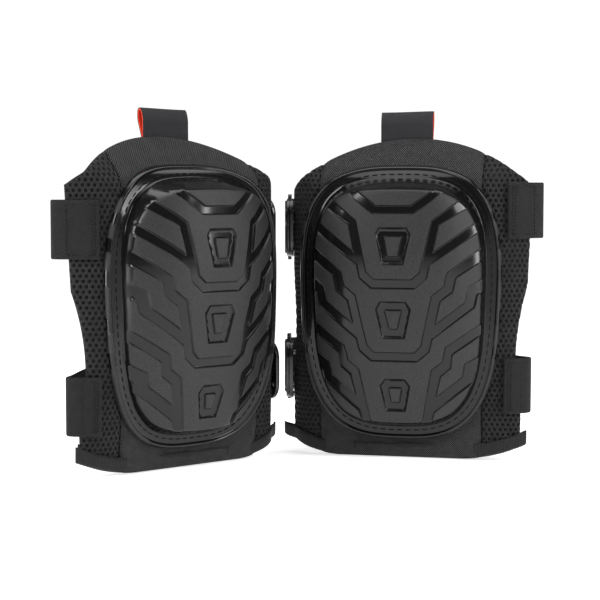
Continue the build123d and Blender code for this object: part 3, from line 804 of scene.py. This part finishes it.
def make_stage():
    s = Shader("floor", specular_ior_level=0.2, roughness=0.6, emission_strength=1.0)
    s.colour(s.noise(3.0, 2.0), 0.2, 0.8, (grey(0.9), grey(0.93)))
    away = s.node("ShaderNodeVectorMath", operation="LENGTH")
    s.put(away.inputs[0], s.position())
    near = s.times(away.outputs["Value"], 0.2)
    s.put(s.base.inputs["Emission Color"], s.ramp(near, 0.12, 0.5, (grey(FLOOR_GLOW), grey(1.0))))
    mesh = bpy.data.meshes.new("floor")
    mesh.from_pydata([(-30, -30, 0), (30, -30, 0), (30, 30, 0), (-30, 30, 0)], [], [(0, 1, 2, 3)])
    mesh.materials.append(s.material)
    place("floor", mesh)

    world = bpy.data.worlds.new("studio")
    world.use_nodes = True
    bpy.context.scene.world = world
    tree = world.node_tree
    shader = tree.nodes["Background"]
    path = tree.nodes.new("ShaderNodeLightPath")
    level = tree.nodes.new("ShaderNodeMapRange")
    level.inputs["To Min"].default_value = 0.11
    level.inputs["To Max"].default_value = 1.05
    tree.links.new(path.outputs["Is Camera Ray"], level.inputs[0])
    tree.links.new(level.outputs[0], shader.inputs["Strength"])
    shader.inputs["Color"].default_value = (1, 1, 1, 1)


def softbox(name, spot, target, size, watts):
    light = bpy.data.lights.new(name, "AREA")
    light.shape = "RECTANGLE"
    light.size, light.size_y = size
    light.energy = watts
    lamp = place(name, light)
    lamp.location = spot
    lamp.rotation_euler = (Vector(target) - Vector(spot)).to_track_quat("-Z", "Y").to_euler()


def make_camera():
    lift = radians(3.8)
    distance = 1.25
    data = bpy.data.cameras.new("camera")
    data.lens, data.sensor_width = 97.0, 36.0
    camera = place("camera", data)
    middle = Vector((-0.0044, -0.0193, 0.128))
    camera.location = middle + Vector((0, -cos(lift), sin(lift))) * distance
    camera.rotation_euler = (middle - camera.location).to_track_quat("-Z", "Y").to_euler()
    bpy.context.scene.camera = camera


make_stage()
make_camera()
softbox("key_left", (-0.95, -0.75, 0.95), LOOK_AT, (0.5, 0.8), 13)
softbox("key_right", (1.0, -0.6, 0.9), LOOK_AT, (0.5, 0.8), 13)
softbox("strip_left", (-1.15, -0.3, 0.32), LOOK_AT, (0.1, 0.8), 6)
softbox("strip_right", (1.2, -0.5, 0.4), LOOK_AT, (0.1, 0.7), 4)
softbox("overhead", (0, 0.1, 1.5), (0, 0, 0.1), (1.4, 1.2), 15)
bpy.context.scene.view_settings.view_transform = "Standard"

# ------------------------------------------------------------------ padded fabric
LINING_FRONT, LINING_BACK = 6.95, 9.5
EDGE_MIDDLE = 4.75          # depth at which the turned edges are rounded
EDGE_RADIUS = 4.7
PUFF_CAP = 2.6              # most that a wing swells, in millimetres
POUCH_SIZE, POUCH_CORNER, POUCH_Z = (125.0, 201.0), 44.5, 123.0
POUCH_DEPTH, POUCH_CAP = 18.0, 4.0
POUCH_FRONT = 4.7           # depth of the lining's front face there, ahead of the foam
QUILT_APART = 34.0          # height of the two quilted lines above and below the pouch's middle
GROOVE_MOST = 1.1           # how far the quilting may sink, so that the foam and gel stay covered
CLEAR = 0.1                 # gap between pieces that would otherwise touch
WING_SEAM = PANEL_HALF + CLEAR
LINING_INSET, LINING_LIFT = 4.0, 1.0    # in from the sleeve's top and rear edges, up from its bottom
LINING_ROUND = 1.3          # radius of the lining's edges
FINE = np.array((6.2, 4.2, 2.7, 1.5, 0.7, 0.2, 0.0))


def graded(length, step):
    """0 to 1 in even steps, finer towards the end, for a rounded edge there."""
    count = max(2, round((length - FINE[0]) / step))
    return np.concatenate([np.linspace(0, length - FINE[0], count, endpoint=False), length - FINE]) / length


def both_ends(length, step):
    half = graded(length / 2, step)
    return np.concatenate([(1 - half[:0:-1]) / 2, (1 + half) / 2])


def swell(shape, free, cap, pressure=4.0):
    """Cloth inflated from inside, held where free is 0; returns how far each point moves."""
    verts = shape["verts"]
    mesh = bpy.data.meshes.new("swell")
    mesh.from_pydata((verts / 1000).tolist(), [], shape["faces"])
    cloth = place("swell", mesh)
    held = cloth.vertex_groups.new(name="held")
    for i, value in enumerate(free):
        if value < 0.999:
            held.add([i], 1 - float(value), "REPLACE")
    modifier = cloth.modifiers.new("cloth", "CLOTH")
    settings = modifier.settings
    settings.use_pressure = True
    settings.uniform_pressure_force = pressure
    settings.effector_weights.gravity = 0
    settings.vertex_group_mass = "held"
    settings.quality = 4
    settings.tension_stiffness = settings.compression_stiffness = 12
    settings.bending_stiffness = 0.6
    scene = bpy.context.scene
    scene.frame_start, scene.frame_end = 1, 20
    for number in range(1, 21):
        scene.frame_set(number)
    solved = cloth.evaluated_get(bpy.context.evaluated_depsgraph_get()).to_mesh()
    moved = np.array([v.co for v in solved.vertices]) * 1000 - verts
    bpy.data.objects.remove(cloth)
    scene.frame_set(1)
    length = np.maximum(np.linalg.norm(moved, axis=1), 1e-6)
    return moved * (np.minimum(length, cap) / length * smoothstep(free, 0, 0.5))[:, None]


def seam_dip(s):
    return 1.3 * np.exp(-((np.abs(s) - PANEL_HALF) / 2.2) ** 2)


def panel_shape():
    s = np.linspace(-PANEL_HALF, PANEL_HALF, 53)
    v = graded(250, 3.0)
    top, low = top_edge(s), low_edge(s)
    z = low + v[:, None] * (top - low)
    s = np.broadcast_to(s, z.shape)
    to_top = top_edge(s) - z
    share = edge_round(to_top, EDGE_RADIUS)
    flat = np.column_stack([s.ravel(), z.ravel()])
    to_cap = np.where(inside(flat, OUTLINE), 0, edge_distance(flat, OUTLINE)).reshape(z.shape)
    rise = smoothstep(to_cap, 0, 7) * smoothstep(to_top, 0, 12) * 1.3
    depth = EDGE_MIDDLE * (1 - share) + seam_dip(s) - rise
    tuck = smoothstep(to_top, 12, 6)
    back = EDGE_MIDDLE + (LINING_BACK - EDGE_MIDDLE) * share * tuck - (1 - tuck) * 0.3
    return shell(sleeve(s, z, depth), sleeve(s, z, back), np.stack([s, z], axis=-1))


def wing_place(w, v, way):
    """Distance along the sleeve and height at a share of the wing's width and height."""
    s = WING_SEAM + w * 50
    for _ in range(6):      # each depends on the other, and they settle at once
        u = plan(s * way)[0]
        low, top = low_edge(u), top_edge(u)
        z = low + v * (top - low)
        s = WING_SEAM + w * (reach(z, way) - WING_SEAM)
    return s, z


def wing_rim(s, z, way):
    """Distance to the nearer of a wing's top and rear edges."""
    return np.minimum(top_edge(plan(s * way)[0]) - z, reach(z, way) - s)


def wing_depth(s, z, way):
    """Depth of the wing's mesh face, following its turned edges and seam."""
    share = edge_round(wing_rim(s, z, way), EDGE_RADIUS)
    return EDGE_MIDDLE * (1 - share) + seam_dip(s), share


def wing_shapes(way):
    """A wing's backing, swollen, and the open air mesh that lies on it."""
    s, z = wing_place(*np.meshgrid(WING_COLUMNS, WING_ROWS), way)
    depth, share = wing_depth(s, z, way)
    rim = wing_rim(s, z, way)
    front = sleeve(s * way, z, depth + NET_SPACE * share)
    near_lining = LINING_FRONT - CLEAR
    back = sleeve(s * way, z, EDGE_MIDDLE + (near_lining - EDGE_MIDDLE) * share
                  + (LINING_BACK - near_lining) * share * smoothstep(rim, 10, 5))
    free = smoothstep(rim, 3, 14) * smoothstep(s - PANEL_HALF, 2, 12) * smoothstep(z - low_edge(0), 10, 26)
    backing = shell(front, back, np.stack([s, z], axis=-1))
    count = s.size
    weights = np.concatenate([free.ravel(), np.zeros(count)])
    backing["faces"] = turned_over(backing["faces"], way)
    out = outward(s * way, z).reshape(-1, 3)
    moved = swell(backing, weights, PUFF_CAP)[:count]
    bulge = (moved * out).sum(axis=1).reshape(s.shape)
    bulge = np.maximum(bulge, 0) * (0.85 + 0.3 * np.sin(z / 13 + s / 9) * np.sin(z / 31))
    backing["verts"][:count] += out * bulge.reshape(-1, 1)
    return backing, air_mesh(way, bulge)


HOLE_STEP, ROW_STEP = 4.5, 3.9          # spacing of the mesh holes along the cloth and up it
HOLE_HALF = np.array((1.15, 1.3)) * 1.1
NET_THICK, NET_SPACE = 1.15, 1.0        # the mesh, and how far behind its face the backing lies
CELL_RING = ((0, 0), (0.5, 0), (1, 0), (1, 0.5), (1, 1), (0.5, 1), (0, 1), (0, 0.5))
WING_COLUMNS, WING_ROWS = graded(52, 3.4), graded(215, 3.4)


def air_mesh(way, bulge):
    """Open mesh cloth with staggered oval holes, cut to the wing's outline."""
    cells = np.array([(i + 0.5 * (j % 2), j) for j in range(2, 62) for i in range(-1, 14)])
    ring = np.array(CELL_RING)
    angle = np.arctan2(ring[:, 1] - 0.5, ring[:, 0] - 0.5)
    pitch = np.array((HOLE_STEP, ROW_STEP))
    hole = np.column_stack([np.cos(angle), np.sin(angle)]) * HOLE_HALF / pitch
    corners = np.round((cells[:, None] + ring) * 2).astype(int).reshape(-1, 2)
    shared, index = np.unique(corners, axis=0, return_inverse=True)
    index = index.reshape(-1, 8)
    holes = (cells[:, None] + 0.5 + hole).reshape(-1, 2)
    hole_index = len(shared) + np.arange(len(holes)).reshape(-1, 8)

    flat = np.concatenate([shared / 2, holes]) * pitch + (PANEL_HALF, 0)
    s, z = flat.T
    for _ in range(3):
        s = np.clip(s, WING_SEAM, reach(z, way))
        u = plan(s * way)[0]
        z = np.clip(z, low_edge(u) + 5, top_edge(u))
    used = (np.hypot(*(flat.T - (s, z))) < 0.01)[index].any(axis=1)
    index, hole_index = index[used], hole_index[used]

    u = np.abs(plan(s * way)[0])
    low, top = low_edge(u), top_edge(u)
    lift = sample(bulge, (z - low) / (top - low), (s - WING_SEAM) / (reach(z, way) - WING_SEAM))
    depth, share = wing_depth(s, z, way)
    n = len(s)
    crest = np.where(np.arange(n) < len(shared), -0.12, 0.28) * share    # the holes' rims lie deeper
    near = sleeve(s * way, z, depth - lift + crest)
    far = sleeve(s * way, z, depth - lift + crest + NET_THICK * np.maximum(share, 0.25))
    faces = []
    for outer, inner in zip(index.tolist(), hole_index.tolist()):
        for k in range(8):
            a, b, c, d = outer[k], outer[(k + 1) % 8], inner[(k + 1) % 8], inner[k]
            faces.append((a, b, c, d))
            faces.append((n + a, n + d, n + c, n + b))
            faces.append((d, c, n + c, n + d))
    edges = dict.fromkeys((a, b) for f in faces for a, b in zip(f, f[1:] + f[:1]))
    faces += [(b, a, n + a, n + b) for a, b in edges if (b, a) not in edges and a < n and b < n]
    verts, faces, used = drop_unused(np.concatenate([near, far]), faces)
    return {"verts": verts, "faces": turned_over(faces, way), "weld": 0.02,
            "uv": np.tile(np.column_stack([s, z]), (2, 1))[used]}


def between(places, value):
    """Index of the place below a value from 0 to 1, and the share of the way to the next."""
    value = np.clip(value, 0, 1)
    i = np.clip(np.searchsorted(places, value) - 1, 0, len(places) - 2)
    return i, (value - places[i]) / (places[i + 1] - places[i])


def sample(table, v, w):
    """Value of a wing's table at shares of its height and width."""
    (j, b), (i, a) = between(WING_ROWS, v), between(WING_COLUMNS, w)
    return ((table[j, i] * (1 - a) + table[j, i + 1] * a) * (1 - b)
            + (table[j + 1, i] * (1 - a) + table[j + 1, i + 1] * a) * b)


def block_distance(u, z, size, corner):
    """Distance inside the edge of a rounded rectangle round the pouch's middle, negative outside it."""
    du = np.abs(u) - size[0] / 2 + corner
    dz = np.abs(z - POUCH_Z) - size[1] / 2 + corner
    beyond = np.hypot(np.maximum(du, 0), np.maximum(dz, 0))
    return corner - beyond - np.minimum(np.maximum(du, dz), 0)


def lining_shape():
    """Lining of the whole sleeve with the pouch that holds the foam and the gel."""
    w, v = np.meshgrid(both_ends(230, 2.8), both_ends(250, 2.8))
    s = np.zeros_like(w)
    for _ in range(6):
        u = plan(s)[0]
        low, top = low_edge(u) + LINING_LIFT, top_edge(u) - LINING_INSET
        z = low + v * (top - low)
        inner, outer = reach(z, -1) - LINING_INSET, reach(z, 1) - LINING_INSET
        s = -inner + w * (inner + outer)
    u = plan(s)[0]
    to_rear = np.where(s > 0, outer - s, inner + s)
    to_top = top_edge(u) - LINING_INSET - z
    to_low = z - low_edge(u) - LINING_LIFT
    share = edge_round(np.minimum(np.minimum(to_rear, to_top), to_low), LINING_ROUND)
    middle = (LINING_FRONT + LINING_BACK) / 2
    into = block_distance(u, z, POUCH_SIZE, POUCH_CORNER)
    pouch = edge_round(into, 7.0) * (into > 0)
    seam = 0.9 * np.exp(-((into + 2.0) / 1.6) ** 2)
    front = middle + (LINING_FRONT - middle) * share - (LINING_FRONT - POUCH_FRONT) * smoothstep(into, 1, 5)
    back = middle + (LINING_BACK - middle) * share + (POUCH_DEPTH - LINING_BACK) * pouch - seam
    shape = shell(sleeve(s, z, front), sleeve(s, z, back), np.stack([s, z], axis=-1))
    count = s.size
    free = smoothstep(into, 2, 16).ravel()
    out = outward(s, z).reshape(-1, 3)
    moved = swell(shape, np.concatenate([np.zeros(count), free]), POUCH_CAP)[count:]
    bulge = np.maximum(-(moved * out).sum(axis=1), 0)
    quilt = np.zeros_like(z)
    for way in (-1, 1):
        line = POUCH_Z + way * (QUILT_APART - 10 * (u / 62) ** 2)
        quilt += 3.2 * np.exp(-((z - line) / 3.4) ** 2) * smoothstep(into, 3, 10)
    rise = np.maximum(bulge - quilt.ravel(), -GROOVE_MOST)
    shape["verts"][count:] -= out * rise[:, None]
    return shape


def block_shape(size, corner, near, far, pocket=None):
    """Rounded foam or gel block lying along the sleeve, with an optional pocket in its back."""
    s, z = np.meshgrid(np.linspace(-1, 1, 41), np.linspace(-1, 1, 57))
    lost = 2 * corner * (1 - np.sqrt(0.5))          # what each rounded corner takes off the size
    round_s = s * np.sqrt(1 - z ** 2 * (1 - (1 - lost / size[0]) ** 2))
    round_z = z * np.sqrt(1 - s ** 2 * (1 - (1 - lost / size[1]) ** 2))
    s, z = round_s * size[0] / 2, round_z * size[1] / 2 + POUCH_Z
    into = np.maximum(block_distance(s, z, size, corner), 0)
    share = edge_round(into, 4.0)
    middle = (near + far) / 2
    back = middle + (far - middle) * share
    if pocket:
        back = back - (far - pocket) * smoothstep(block_distance(s, z, GEL_SIZE, GEL_CORNER), -2.5, -0.5)
    return shell(sleeve(s, z, middle - (middle - near) * share), sleeve(s, z, back),
                 np.stack([s, z], axis=-1))


CORE_SIZE, CORE_CORNER = (118.0, 194.0), 41.0
GEL_SIZE, GEL_CORNER = (83.0, 111.0), 29.5
BINDING_HEIGHT, BINDING_END, BINDING_THICK = 12.5, 3.0, 1.2
BINDING_LEVEL, BINDING_FOLD = 14.0, 0.28        # height that sets its length; share of it that turns


def binding_shape():
    """Tape folded over the sleeve's bottom edge."""
    w = np.linspace(0, 1, 150)
    inner, outer = (reach(BINDING_LEVEL, way) + BINDING_END for way in (-1, 1))
    s = -inner + w * (inner + outer)
    u = plan(s)[0]
    wave = 0.35 * np.sin(s / 7.3) + 0.25 * np.sin(s / 3.1 + 1)
    flare = 1.6 * smoothstep(np.abs(w - 0.5), 0.44, 0.5)
    end_swing = 6.0 * smoothstep(w, 0.06, 0.0)      # the inner end stands away from the wing
    front, back = -BINDING_THICK, LINING_BACK + 0.15 + BINDING_THICK
    middle, half = (front + back) / 2, (back - front) / 2
    rising = [(1.0, 1.0), (1.0, 0.75), (1.0, 0.5), (0.98, BINDING_FOLD)]
    turn = [(cos(a), BINDING_FOLD * (1 - sin(a))) for a in np.linspace(0.25, pi - 0.25, 9)]
    section = np.array(rising + turn + [(-x, y) for x, y in reversed(rising)])
    rows_out, rows_in, uv = [], [], []
    for (x, y), run in zip(section, running(section * (half, BINDING_HEIGHT))):
        lift = low_edge(u, 0.05) + y * BINDING_HEIGHT + wave * smoothstep(y, 0.5, 1.0)
        swing = (flare + 0.3 * wave) * (1 if x < 0 else -1) * 0.6 + end_swing
        rows_out.append(sleeve(s, lift, middle + x * half - swing))
        rows_in.append(sleeve(s, lift + BINDING_THICK * smoothstep(y, BINDING_FOLD, 0.0),
                              middle + x * (half - BINDING_THICK) - swing))
        uv.append(np.column_stack([s, np.full_like(s, run)]))
    return shell(np.array(rows_out), np.array(rows_in), np.array(uv))


# ------------------------------------------------------------------ straps
WEB_HALF, WEB_THICK, WEB_GAP = 21.75, 2.0, 0.35
CLIP_Z = {"upper": 182.5, "lower": 67.5}
SEWN_Z = {"right": {"upper": 197.0, "lower": 60.0}, "left": {"upper": 184.0, "lower": 54.0}}
PATCH_LENGTH = {"upper": 26.0, "lower": 17.0}
FOLD_SPACE = 4.6            # between the webbing and its folded end
PLATE_NEAR, PLATE_THICK, PLATE_BACK, BAR_WIDTH, WEB_SLOT = 3.4, 2.8, 28.0, 4.8, 3.2
WEB_PLAY = 0.4 + WEB_THICK / 2          # from a plate's face to the webbing's middle
WEB_BAR = PLATE_NEAR - WEB_PLAY
LEAVING = (                 # how the webbing leaves the outer wing and goes round the leg
    (2.6, 5.0), (1.0, 9.5), (-5.0, 14.0), (-15, 23), (-27, 33), (-43, 44), (-64, 54), (-88, 60),
)
WEB_POINTS, HEM = 170, 0.45             # points along the webbing; how much thicker its turned end is
LEG_BOW = 34.0              # how far its free middle bows behind the leg
SEAM_IN = 3.0               # the stitched box, in from the edges of the sewn patch
GRIP_THICK = 1.4            # hook tape


def clip_point(name, t, n):
    """Plan point near a clip: t back along the inner wing from its edge, n outward."""
    bend, most, tail = BENDS[-1]
    back = (WING_TIP_Z - CLIP_Z[name]) * sin(WING_TAPER[-1])
    run = tail - back + t
    x = FLAT_HALF + bend * sin(most) + run * cos(most) + n * sin(most)
    y = bend - bend * cos(most) + run * sin(most) - n * cos(most)
    return -x, y


def along_plate(name, places):
    """Plan points beside a clip's plate: back from its rear end, and outward."""
    return [clip_point(name, PLATE_BACK + t, n) for t, n in places]


def fold_reach(sewn_z):
    """Where the webbing turns behind the outer wing, clear of the wing over its whole width."""
    return max(reach(sewn_z - WEB_HALF, 1), reach(sewn_z + WEB_HALF, 1))


def strap_line(name, sewn_z):
    """Plan points and heights of the webbing's middle, after its sewn part."""
    clip_z = CLIP_Z[name]
    tip = sleeve(fold_reach(sewn_z) + 2, sewn_z, -(WEB_GAP + WEB_THICK / 2))
    x, y = float(tip[0]), float(tip[1])
    away = [(x + dx, y + dy) for dx, dy in LEAVING]
    far = PLATE_NEAR + PLATE_THICK + WEB_PLAY
    slot = -BAR_WIDTH - WEB_SLOT / 2
    main = along_plate(name, ((25, WEB_BAR - 22), (17, WEB_BAR - 7), (11, WEB_BAR - 1.5), (5, WEB_BAR)))
    (x0, y0), (x1, y1) = away[-1], main[0]
    middle = [(x0 + (x1 - x0) * f, y0 + (y1 - y0) * f + LEG_BOW * f * (1 - f))
              for f in (0.2, 0.4, 0.6, 0.8)]
    fold = WEB_BAR + FOLD_SPACE
    looped = along_plate(name, ((slot, WEB_BAR), (slot, far), (1.5, far), (6, fold),
                                (11, fold - 1.2), (17, fold - 5), (25, fold - 18)))
    free = away + middle + main
    run = running(np.array(free))
    share = smoothstep(run / run[-1], 0.02, 0.98)
    levels = list(sewn_z + (clip_z - sewn_z) * share) + [clip_z] * len(looped)
    return np.column_stack([free + looped, levels])


def grid_normals(grid):
    return unit(np.cross(np.gradient(grid, axis=1), np.gradient(grid, axis=0)))


def strap_shape(name, sewn_z):
    line = strap_line(name, sewn_z)
    across = np.array((-1, -0.96, -0.75, -0.4, 0, 0.4, 0.75, 0.96, 1)) * WEB_HALF
    sewn_s = fold_reach(sewn_z) - PATCH_LENGTH[name] + np.linspace(0, PATCH_LENGTH[name] + 2, 8)
    rows = []
    for offset in across:
        laid = sleeve(sewn_s, sewn_z + offset, -(WEB_GAP + WEB_THICK / 2))
        loose = line + (0, 0, offset)
        rows.append(curve(np.concatenate([laid, loose]), WEB_POINTS))
    grid = np.array(rows)
    normal = grid_normals(grid)
    edge = np.where(np.abs(across) > 0.99 * WEB_HALF, 0.35, 1.0)[:, None, None]
    hem = 1 + HEM * smoothstep(np.arange(WEB_POINTS), 9, 6)[None, :, None]
    half = WEB_THICK / 2 * edge
    run = running(grid[len(grid) // 2])
    uv = np.stack(np.broadcast_arrays(run[None, :], (across + WEB_HALF)[:, None]), axis=-1)
    shape = shell(grid + normal * half * hem, grid - normal * half, uv)
    shape["length"] = run[-1]
    return shape


def strap_stitches(name, sewn_z):
    """Box of stitches with a cross bar that holds the sewn end."""
    front = fold_reach(sewn_z) - PATCH_LENGTH[name]
    left, right = front + SEAM_IN, front + PATCH_LENGTH[name] - SEAM_IN
    low, high = sewn_z - WEB_HALF + SEAM_IN, sewn_z + WEB_HALF - SEAM_IN
    lines = [((left, low), (left, high)), ((right, low), (right, high)), ((left, low), (right, low)),
             ((left, high), (right, high)), ((left + 2.2, low), (left + 2.2, high))]

    def on_webbing(s, z):
        return sleeve(s, z, -(WEB_GAP + WEB_THICK + 0.15 + HEM * (s < front + 8)))

    starts, ends, ups = [], [], []
    for a, b in np.array(lines):
        count = round(float(np.linalg.norm(b - a)) / 2.7)
        for k in range(count):
            p, q = a + (b - a) * (k + 0.12) / count, a + (b - a) * (k + 0.82) / count
            starts.append(on_webbing(*p))
            ends.append(on_webbing(*q))
            ups.append(outward(*p))
    return capsules(starts, ends, ups, 0.34)


def grip_shape(name):
    """Patch of hook tape between the webbing's two layers."""
    bar = WEB_BAR + FOLD_SPACE / 2
    line = curve(along_plate(name, ((7, bar), (11, bar - 1.35), (17, bar - 6), (21, bar - 12))), 16)
    across = np.linspace(-19, 19, 8)
    level = CLIP_Z[name]
    grid = np.array([[(x, y, level + offset) for x, y in line] for offset in across])
    half = grid_normals(grid) * GRIP_THICK / 2
    uv = np.stack(np.broadcast_arrays(np.arange(16.0)[None, :], across[:, None]), axis=-1)
    return shell(grid + half, grid - half, uv)


# ------------------------------------------------------------------ pull tab
TAB_HALF, TAB_HEIGHT, TAB_DEPTH, TAB_LEAN = 21.0, 19.0, 8.0, radians(10)
RIBBON, TAB_LINING = 0.85, 0.6
TAB_FOOT = 4.5              # sewn in behind the sleeve's top edge


def tab_shape(near, far):
    """Ribbon loop open at both ends, between two trims measured in from its outside."""
    around = np.linspace(0, 2 * pi, 45)[:-1]
    us = np.concatenate([[-TAB_HALF, -TAB_HALF + 0.3], np.linspace(-TAB_HALF + 2.5, TAB_HALF - 2.5, 15),
                         [TAB_HALF - 0.3, TAB_HALF]])
    up = np.sin(around)
    pinch = 0.62 + 0.38 * smoothstep(up, -1.0, 0.1)
    skins = []
    for trim in (near, far):
        y = np.sign(np.cos(around)) * np.abs(np.cos(around)) ** 0.75 * (TAB_DEPTH / 2 * pinch - trim)
        z = up * (TAB_HEIGHT / 2 - trim) + TAB_HEIGHT / 2 - TAB_DEPTH / 2
        rings = []
        for u in us:
            drop = TOP_RADIUS - np.sqrt(TOP_RADIUS ** 2 - (u - TOP_CENTRE_U) ** 2)
            sag = drop * smoothstep(up, 0.2, -0.9)
            bow = 0.5 * np.sin(u / 9 + 0.6) * smoothstep(up, -0.6, 1.0)
            foot = TAB_FOOT * smoothstep(up, -0.3, -1.0)
            yy, zz = y + bow * 0.8, z - sag - foot + 0.4 * np.sin(u / 12)
            turned_y = yy * cos(TAB_LEAN) + zz * sin(TAB_LEAN)
            turned_z = zz * cos(TAB_LEAN) - yy * sin(TAB_LEAN)
            rings.append(np.column_stack([np.full_like(y, u), TAB_HINGE_Y + turned_y,
                                          PADS["right"]["hinge_z"] + turned_z]))
        skins.append(np.array(rings))
    outer, inner = skins
    rows, cols = outer.shape[:2]
    n, last = rows * cols, (rows - 1) * cols
    faces = []
    for start in range(0, last, cols):
        for i in range(cols):
            a, b = start + i, start + (i + 1) % cols
            faces.append((a, a + cols, b + cols, b))
            faces.append((n + a, n + b, n + b + cols, n + a + cols))
    for a in range(cols):
        b = (a + 1) % cols
        faces.append((a, b, n + b, n + a))
        faces.append((last + b, last + a, n + last + a, n + last + b))
    uv = np.stack(np.meshgrid(us, running(outer[0]), indexing="ij"), axis=-1).reshape(-1, 2)
    return {"verts": np.concatenate([outer.reshape(-1, 3), inner.reshape(-1, 3)]), "faces": faces,
            "uv": np.tile(uv, (2, 1))}


# ------------------------------------------------------------------ build both pads
SHAPES = {
    "hard_cap": cap_shape(),
    "cap_thread": cap_stitches(),
    "front_cloth": panel_shape(),
    "lining_cloth": lining_shape(),
    "foam": block_shape(CORE_SIZE, CORE_CORNER, 5.2, 16.4, 9.9),
    "gel": block_shape(GEL_SIZE, GEL_CORNER, 10.2, 16.3),
    "binding_tape": binding_shape(),
    "tab_ribbon": tab_shape(0, RIBBON),
    "tab_inner": tab_shape(RIBBON + 0.03, RIBBON + 0.03 + TAB_LINING),
}
for way, name in ((1, "outer"), (-1, "inner")):
    SHAPES[f"{name}_backing"], SHAPES[f"{name}_air_mesh"] = wing_shapes(way)


CLIP_EDGE = 0.45            # radius of the clips' edges


def softened(side, level, kind, body):
    """Copy of a clip piece with its moulded edges rounded, in place of the plain one."""
    node = frame["nodes"][f"{side}_{level}_{kind}"]
    work = bmesh.new()
    work.from_mesh(node.data)
    work.transform(node.matrix_world)
    bmesh.ops.remove_doubles(work, verts=work.verts, dist=1e-6)
    bmesh.ops.dissolve_limit(work, angle_limit=radians(2), verts=work.verts, edges=work.edges)
    sharp = [e for e in work.edges if e.is_manifold and e.calc_face_angle() > radians(40)]
    bmesh.ops.bevel(work, geom=sharp, offset=CLIP_EDGE / 1000, offset_type="OFFSET", segments=2,
                    profile=0.5, affect="EDGES", clamp_overlap=True)
    mesh = bpy.data.meshes.new(f"{side}_{level}_{kind}_moulding")
    work.to_mesh(mesh)
    work.free()
    mesh.materials.append(MATERIALS["clip"])
    mesh.shade_smooth()
    mesh.set_sharp_from_angle(angle=radians(42))
    piece = place(mesh.name, mesh)
    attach(piece, body)
    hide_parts(node.name)


# piece: material, node it replaces, slot, fill of a padded piece
PIECES = {
    "hard_cap": ("cap", "cap", "cap", None),
    "cap_thread": ("thread", "cap_stitching", "thread", None),
    "front_cloth": ("panel", "front_panel", "panel_fabric", 0.4),
    "lining_cloth": ("lining", "back_lining", "lining", 0.6),
    "foam": ("foam", "foam_core", "foam", 0.8),
    "gel": ("gel", "gel_insert", "gel", 0.9),
    "binding_tape": ("binding", "bottom_binding", "binding", None),
    "outer_backing": ("backing", "outer_wing", "mesh_fabric", 0.5),
    "inner_backing": ("backing", "inner_wing", "mesh_fabric", 0.5),
    "outer_air_mesh": ("air_mesh", None, "mesh_fabric", None),
    "inner_air_mesh": ("air_mesh", None, "mesh_fabric", None),
}
for side in PADS:
    pad = f"{side}_pad"
    for name, (material, node, slot, fill) in PIECES.items():
        piece = add_piece(side, name, SHAPES[name], material, pad, node)
    for name, node in (("ribbon", "pull_tab"), ("inner", "pull_tab_lining")):
        look = "ribbon" if name == "ribbon" else "tab_lining"
        tab = add_piece(side, f"tab_{name}", SHAPES[f"tab_{name}"], look, None, node)
        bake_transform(tab)
    for name, sewn_z in SEWN_Z[side].items():
        hook = f"{side}_{name}_hook"
        shape = strap_shape(name, sewn_z)
        strap = add_piece(side, f"{name}_webbing", shape, "webbing", None, f"{name}_strap")
        add_piece(side, f"{name}_web_thread", strap_stitches(name, sewn_z), "thread", pad)
        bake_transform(strap)
        add_piece(side, f"{name}_hook_tape", grip_shape(name), "grip", hook,
                  f"{name}_strap_grip")
        softened(side, name, "receiver", pad)
        softened(side, name, "hook_plate", hook)
        for metal in frame["nodes"][f"{side}_{name}_rivets"].material_slots:
            metal.material = MATERIALS["rivet"]
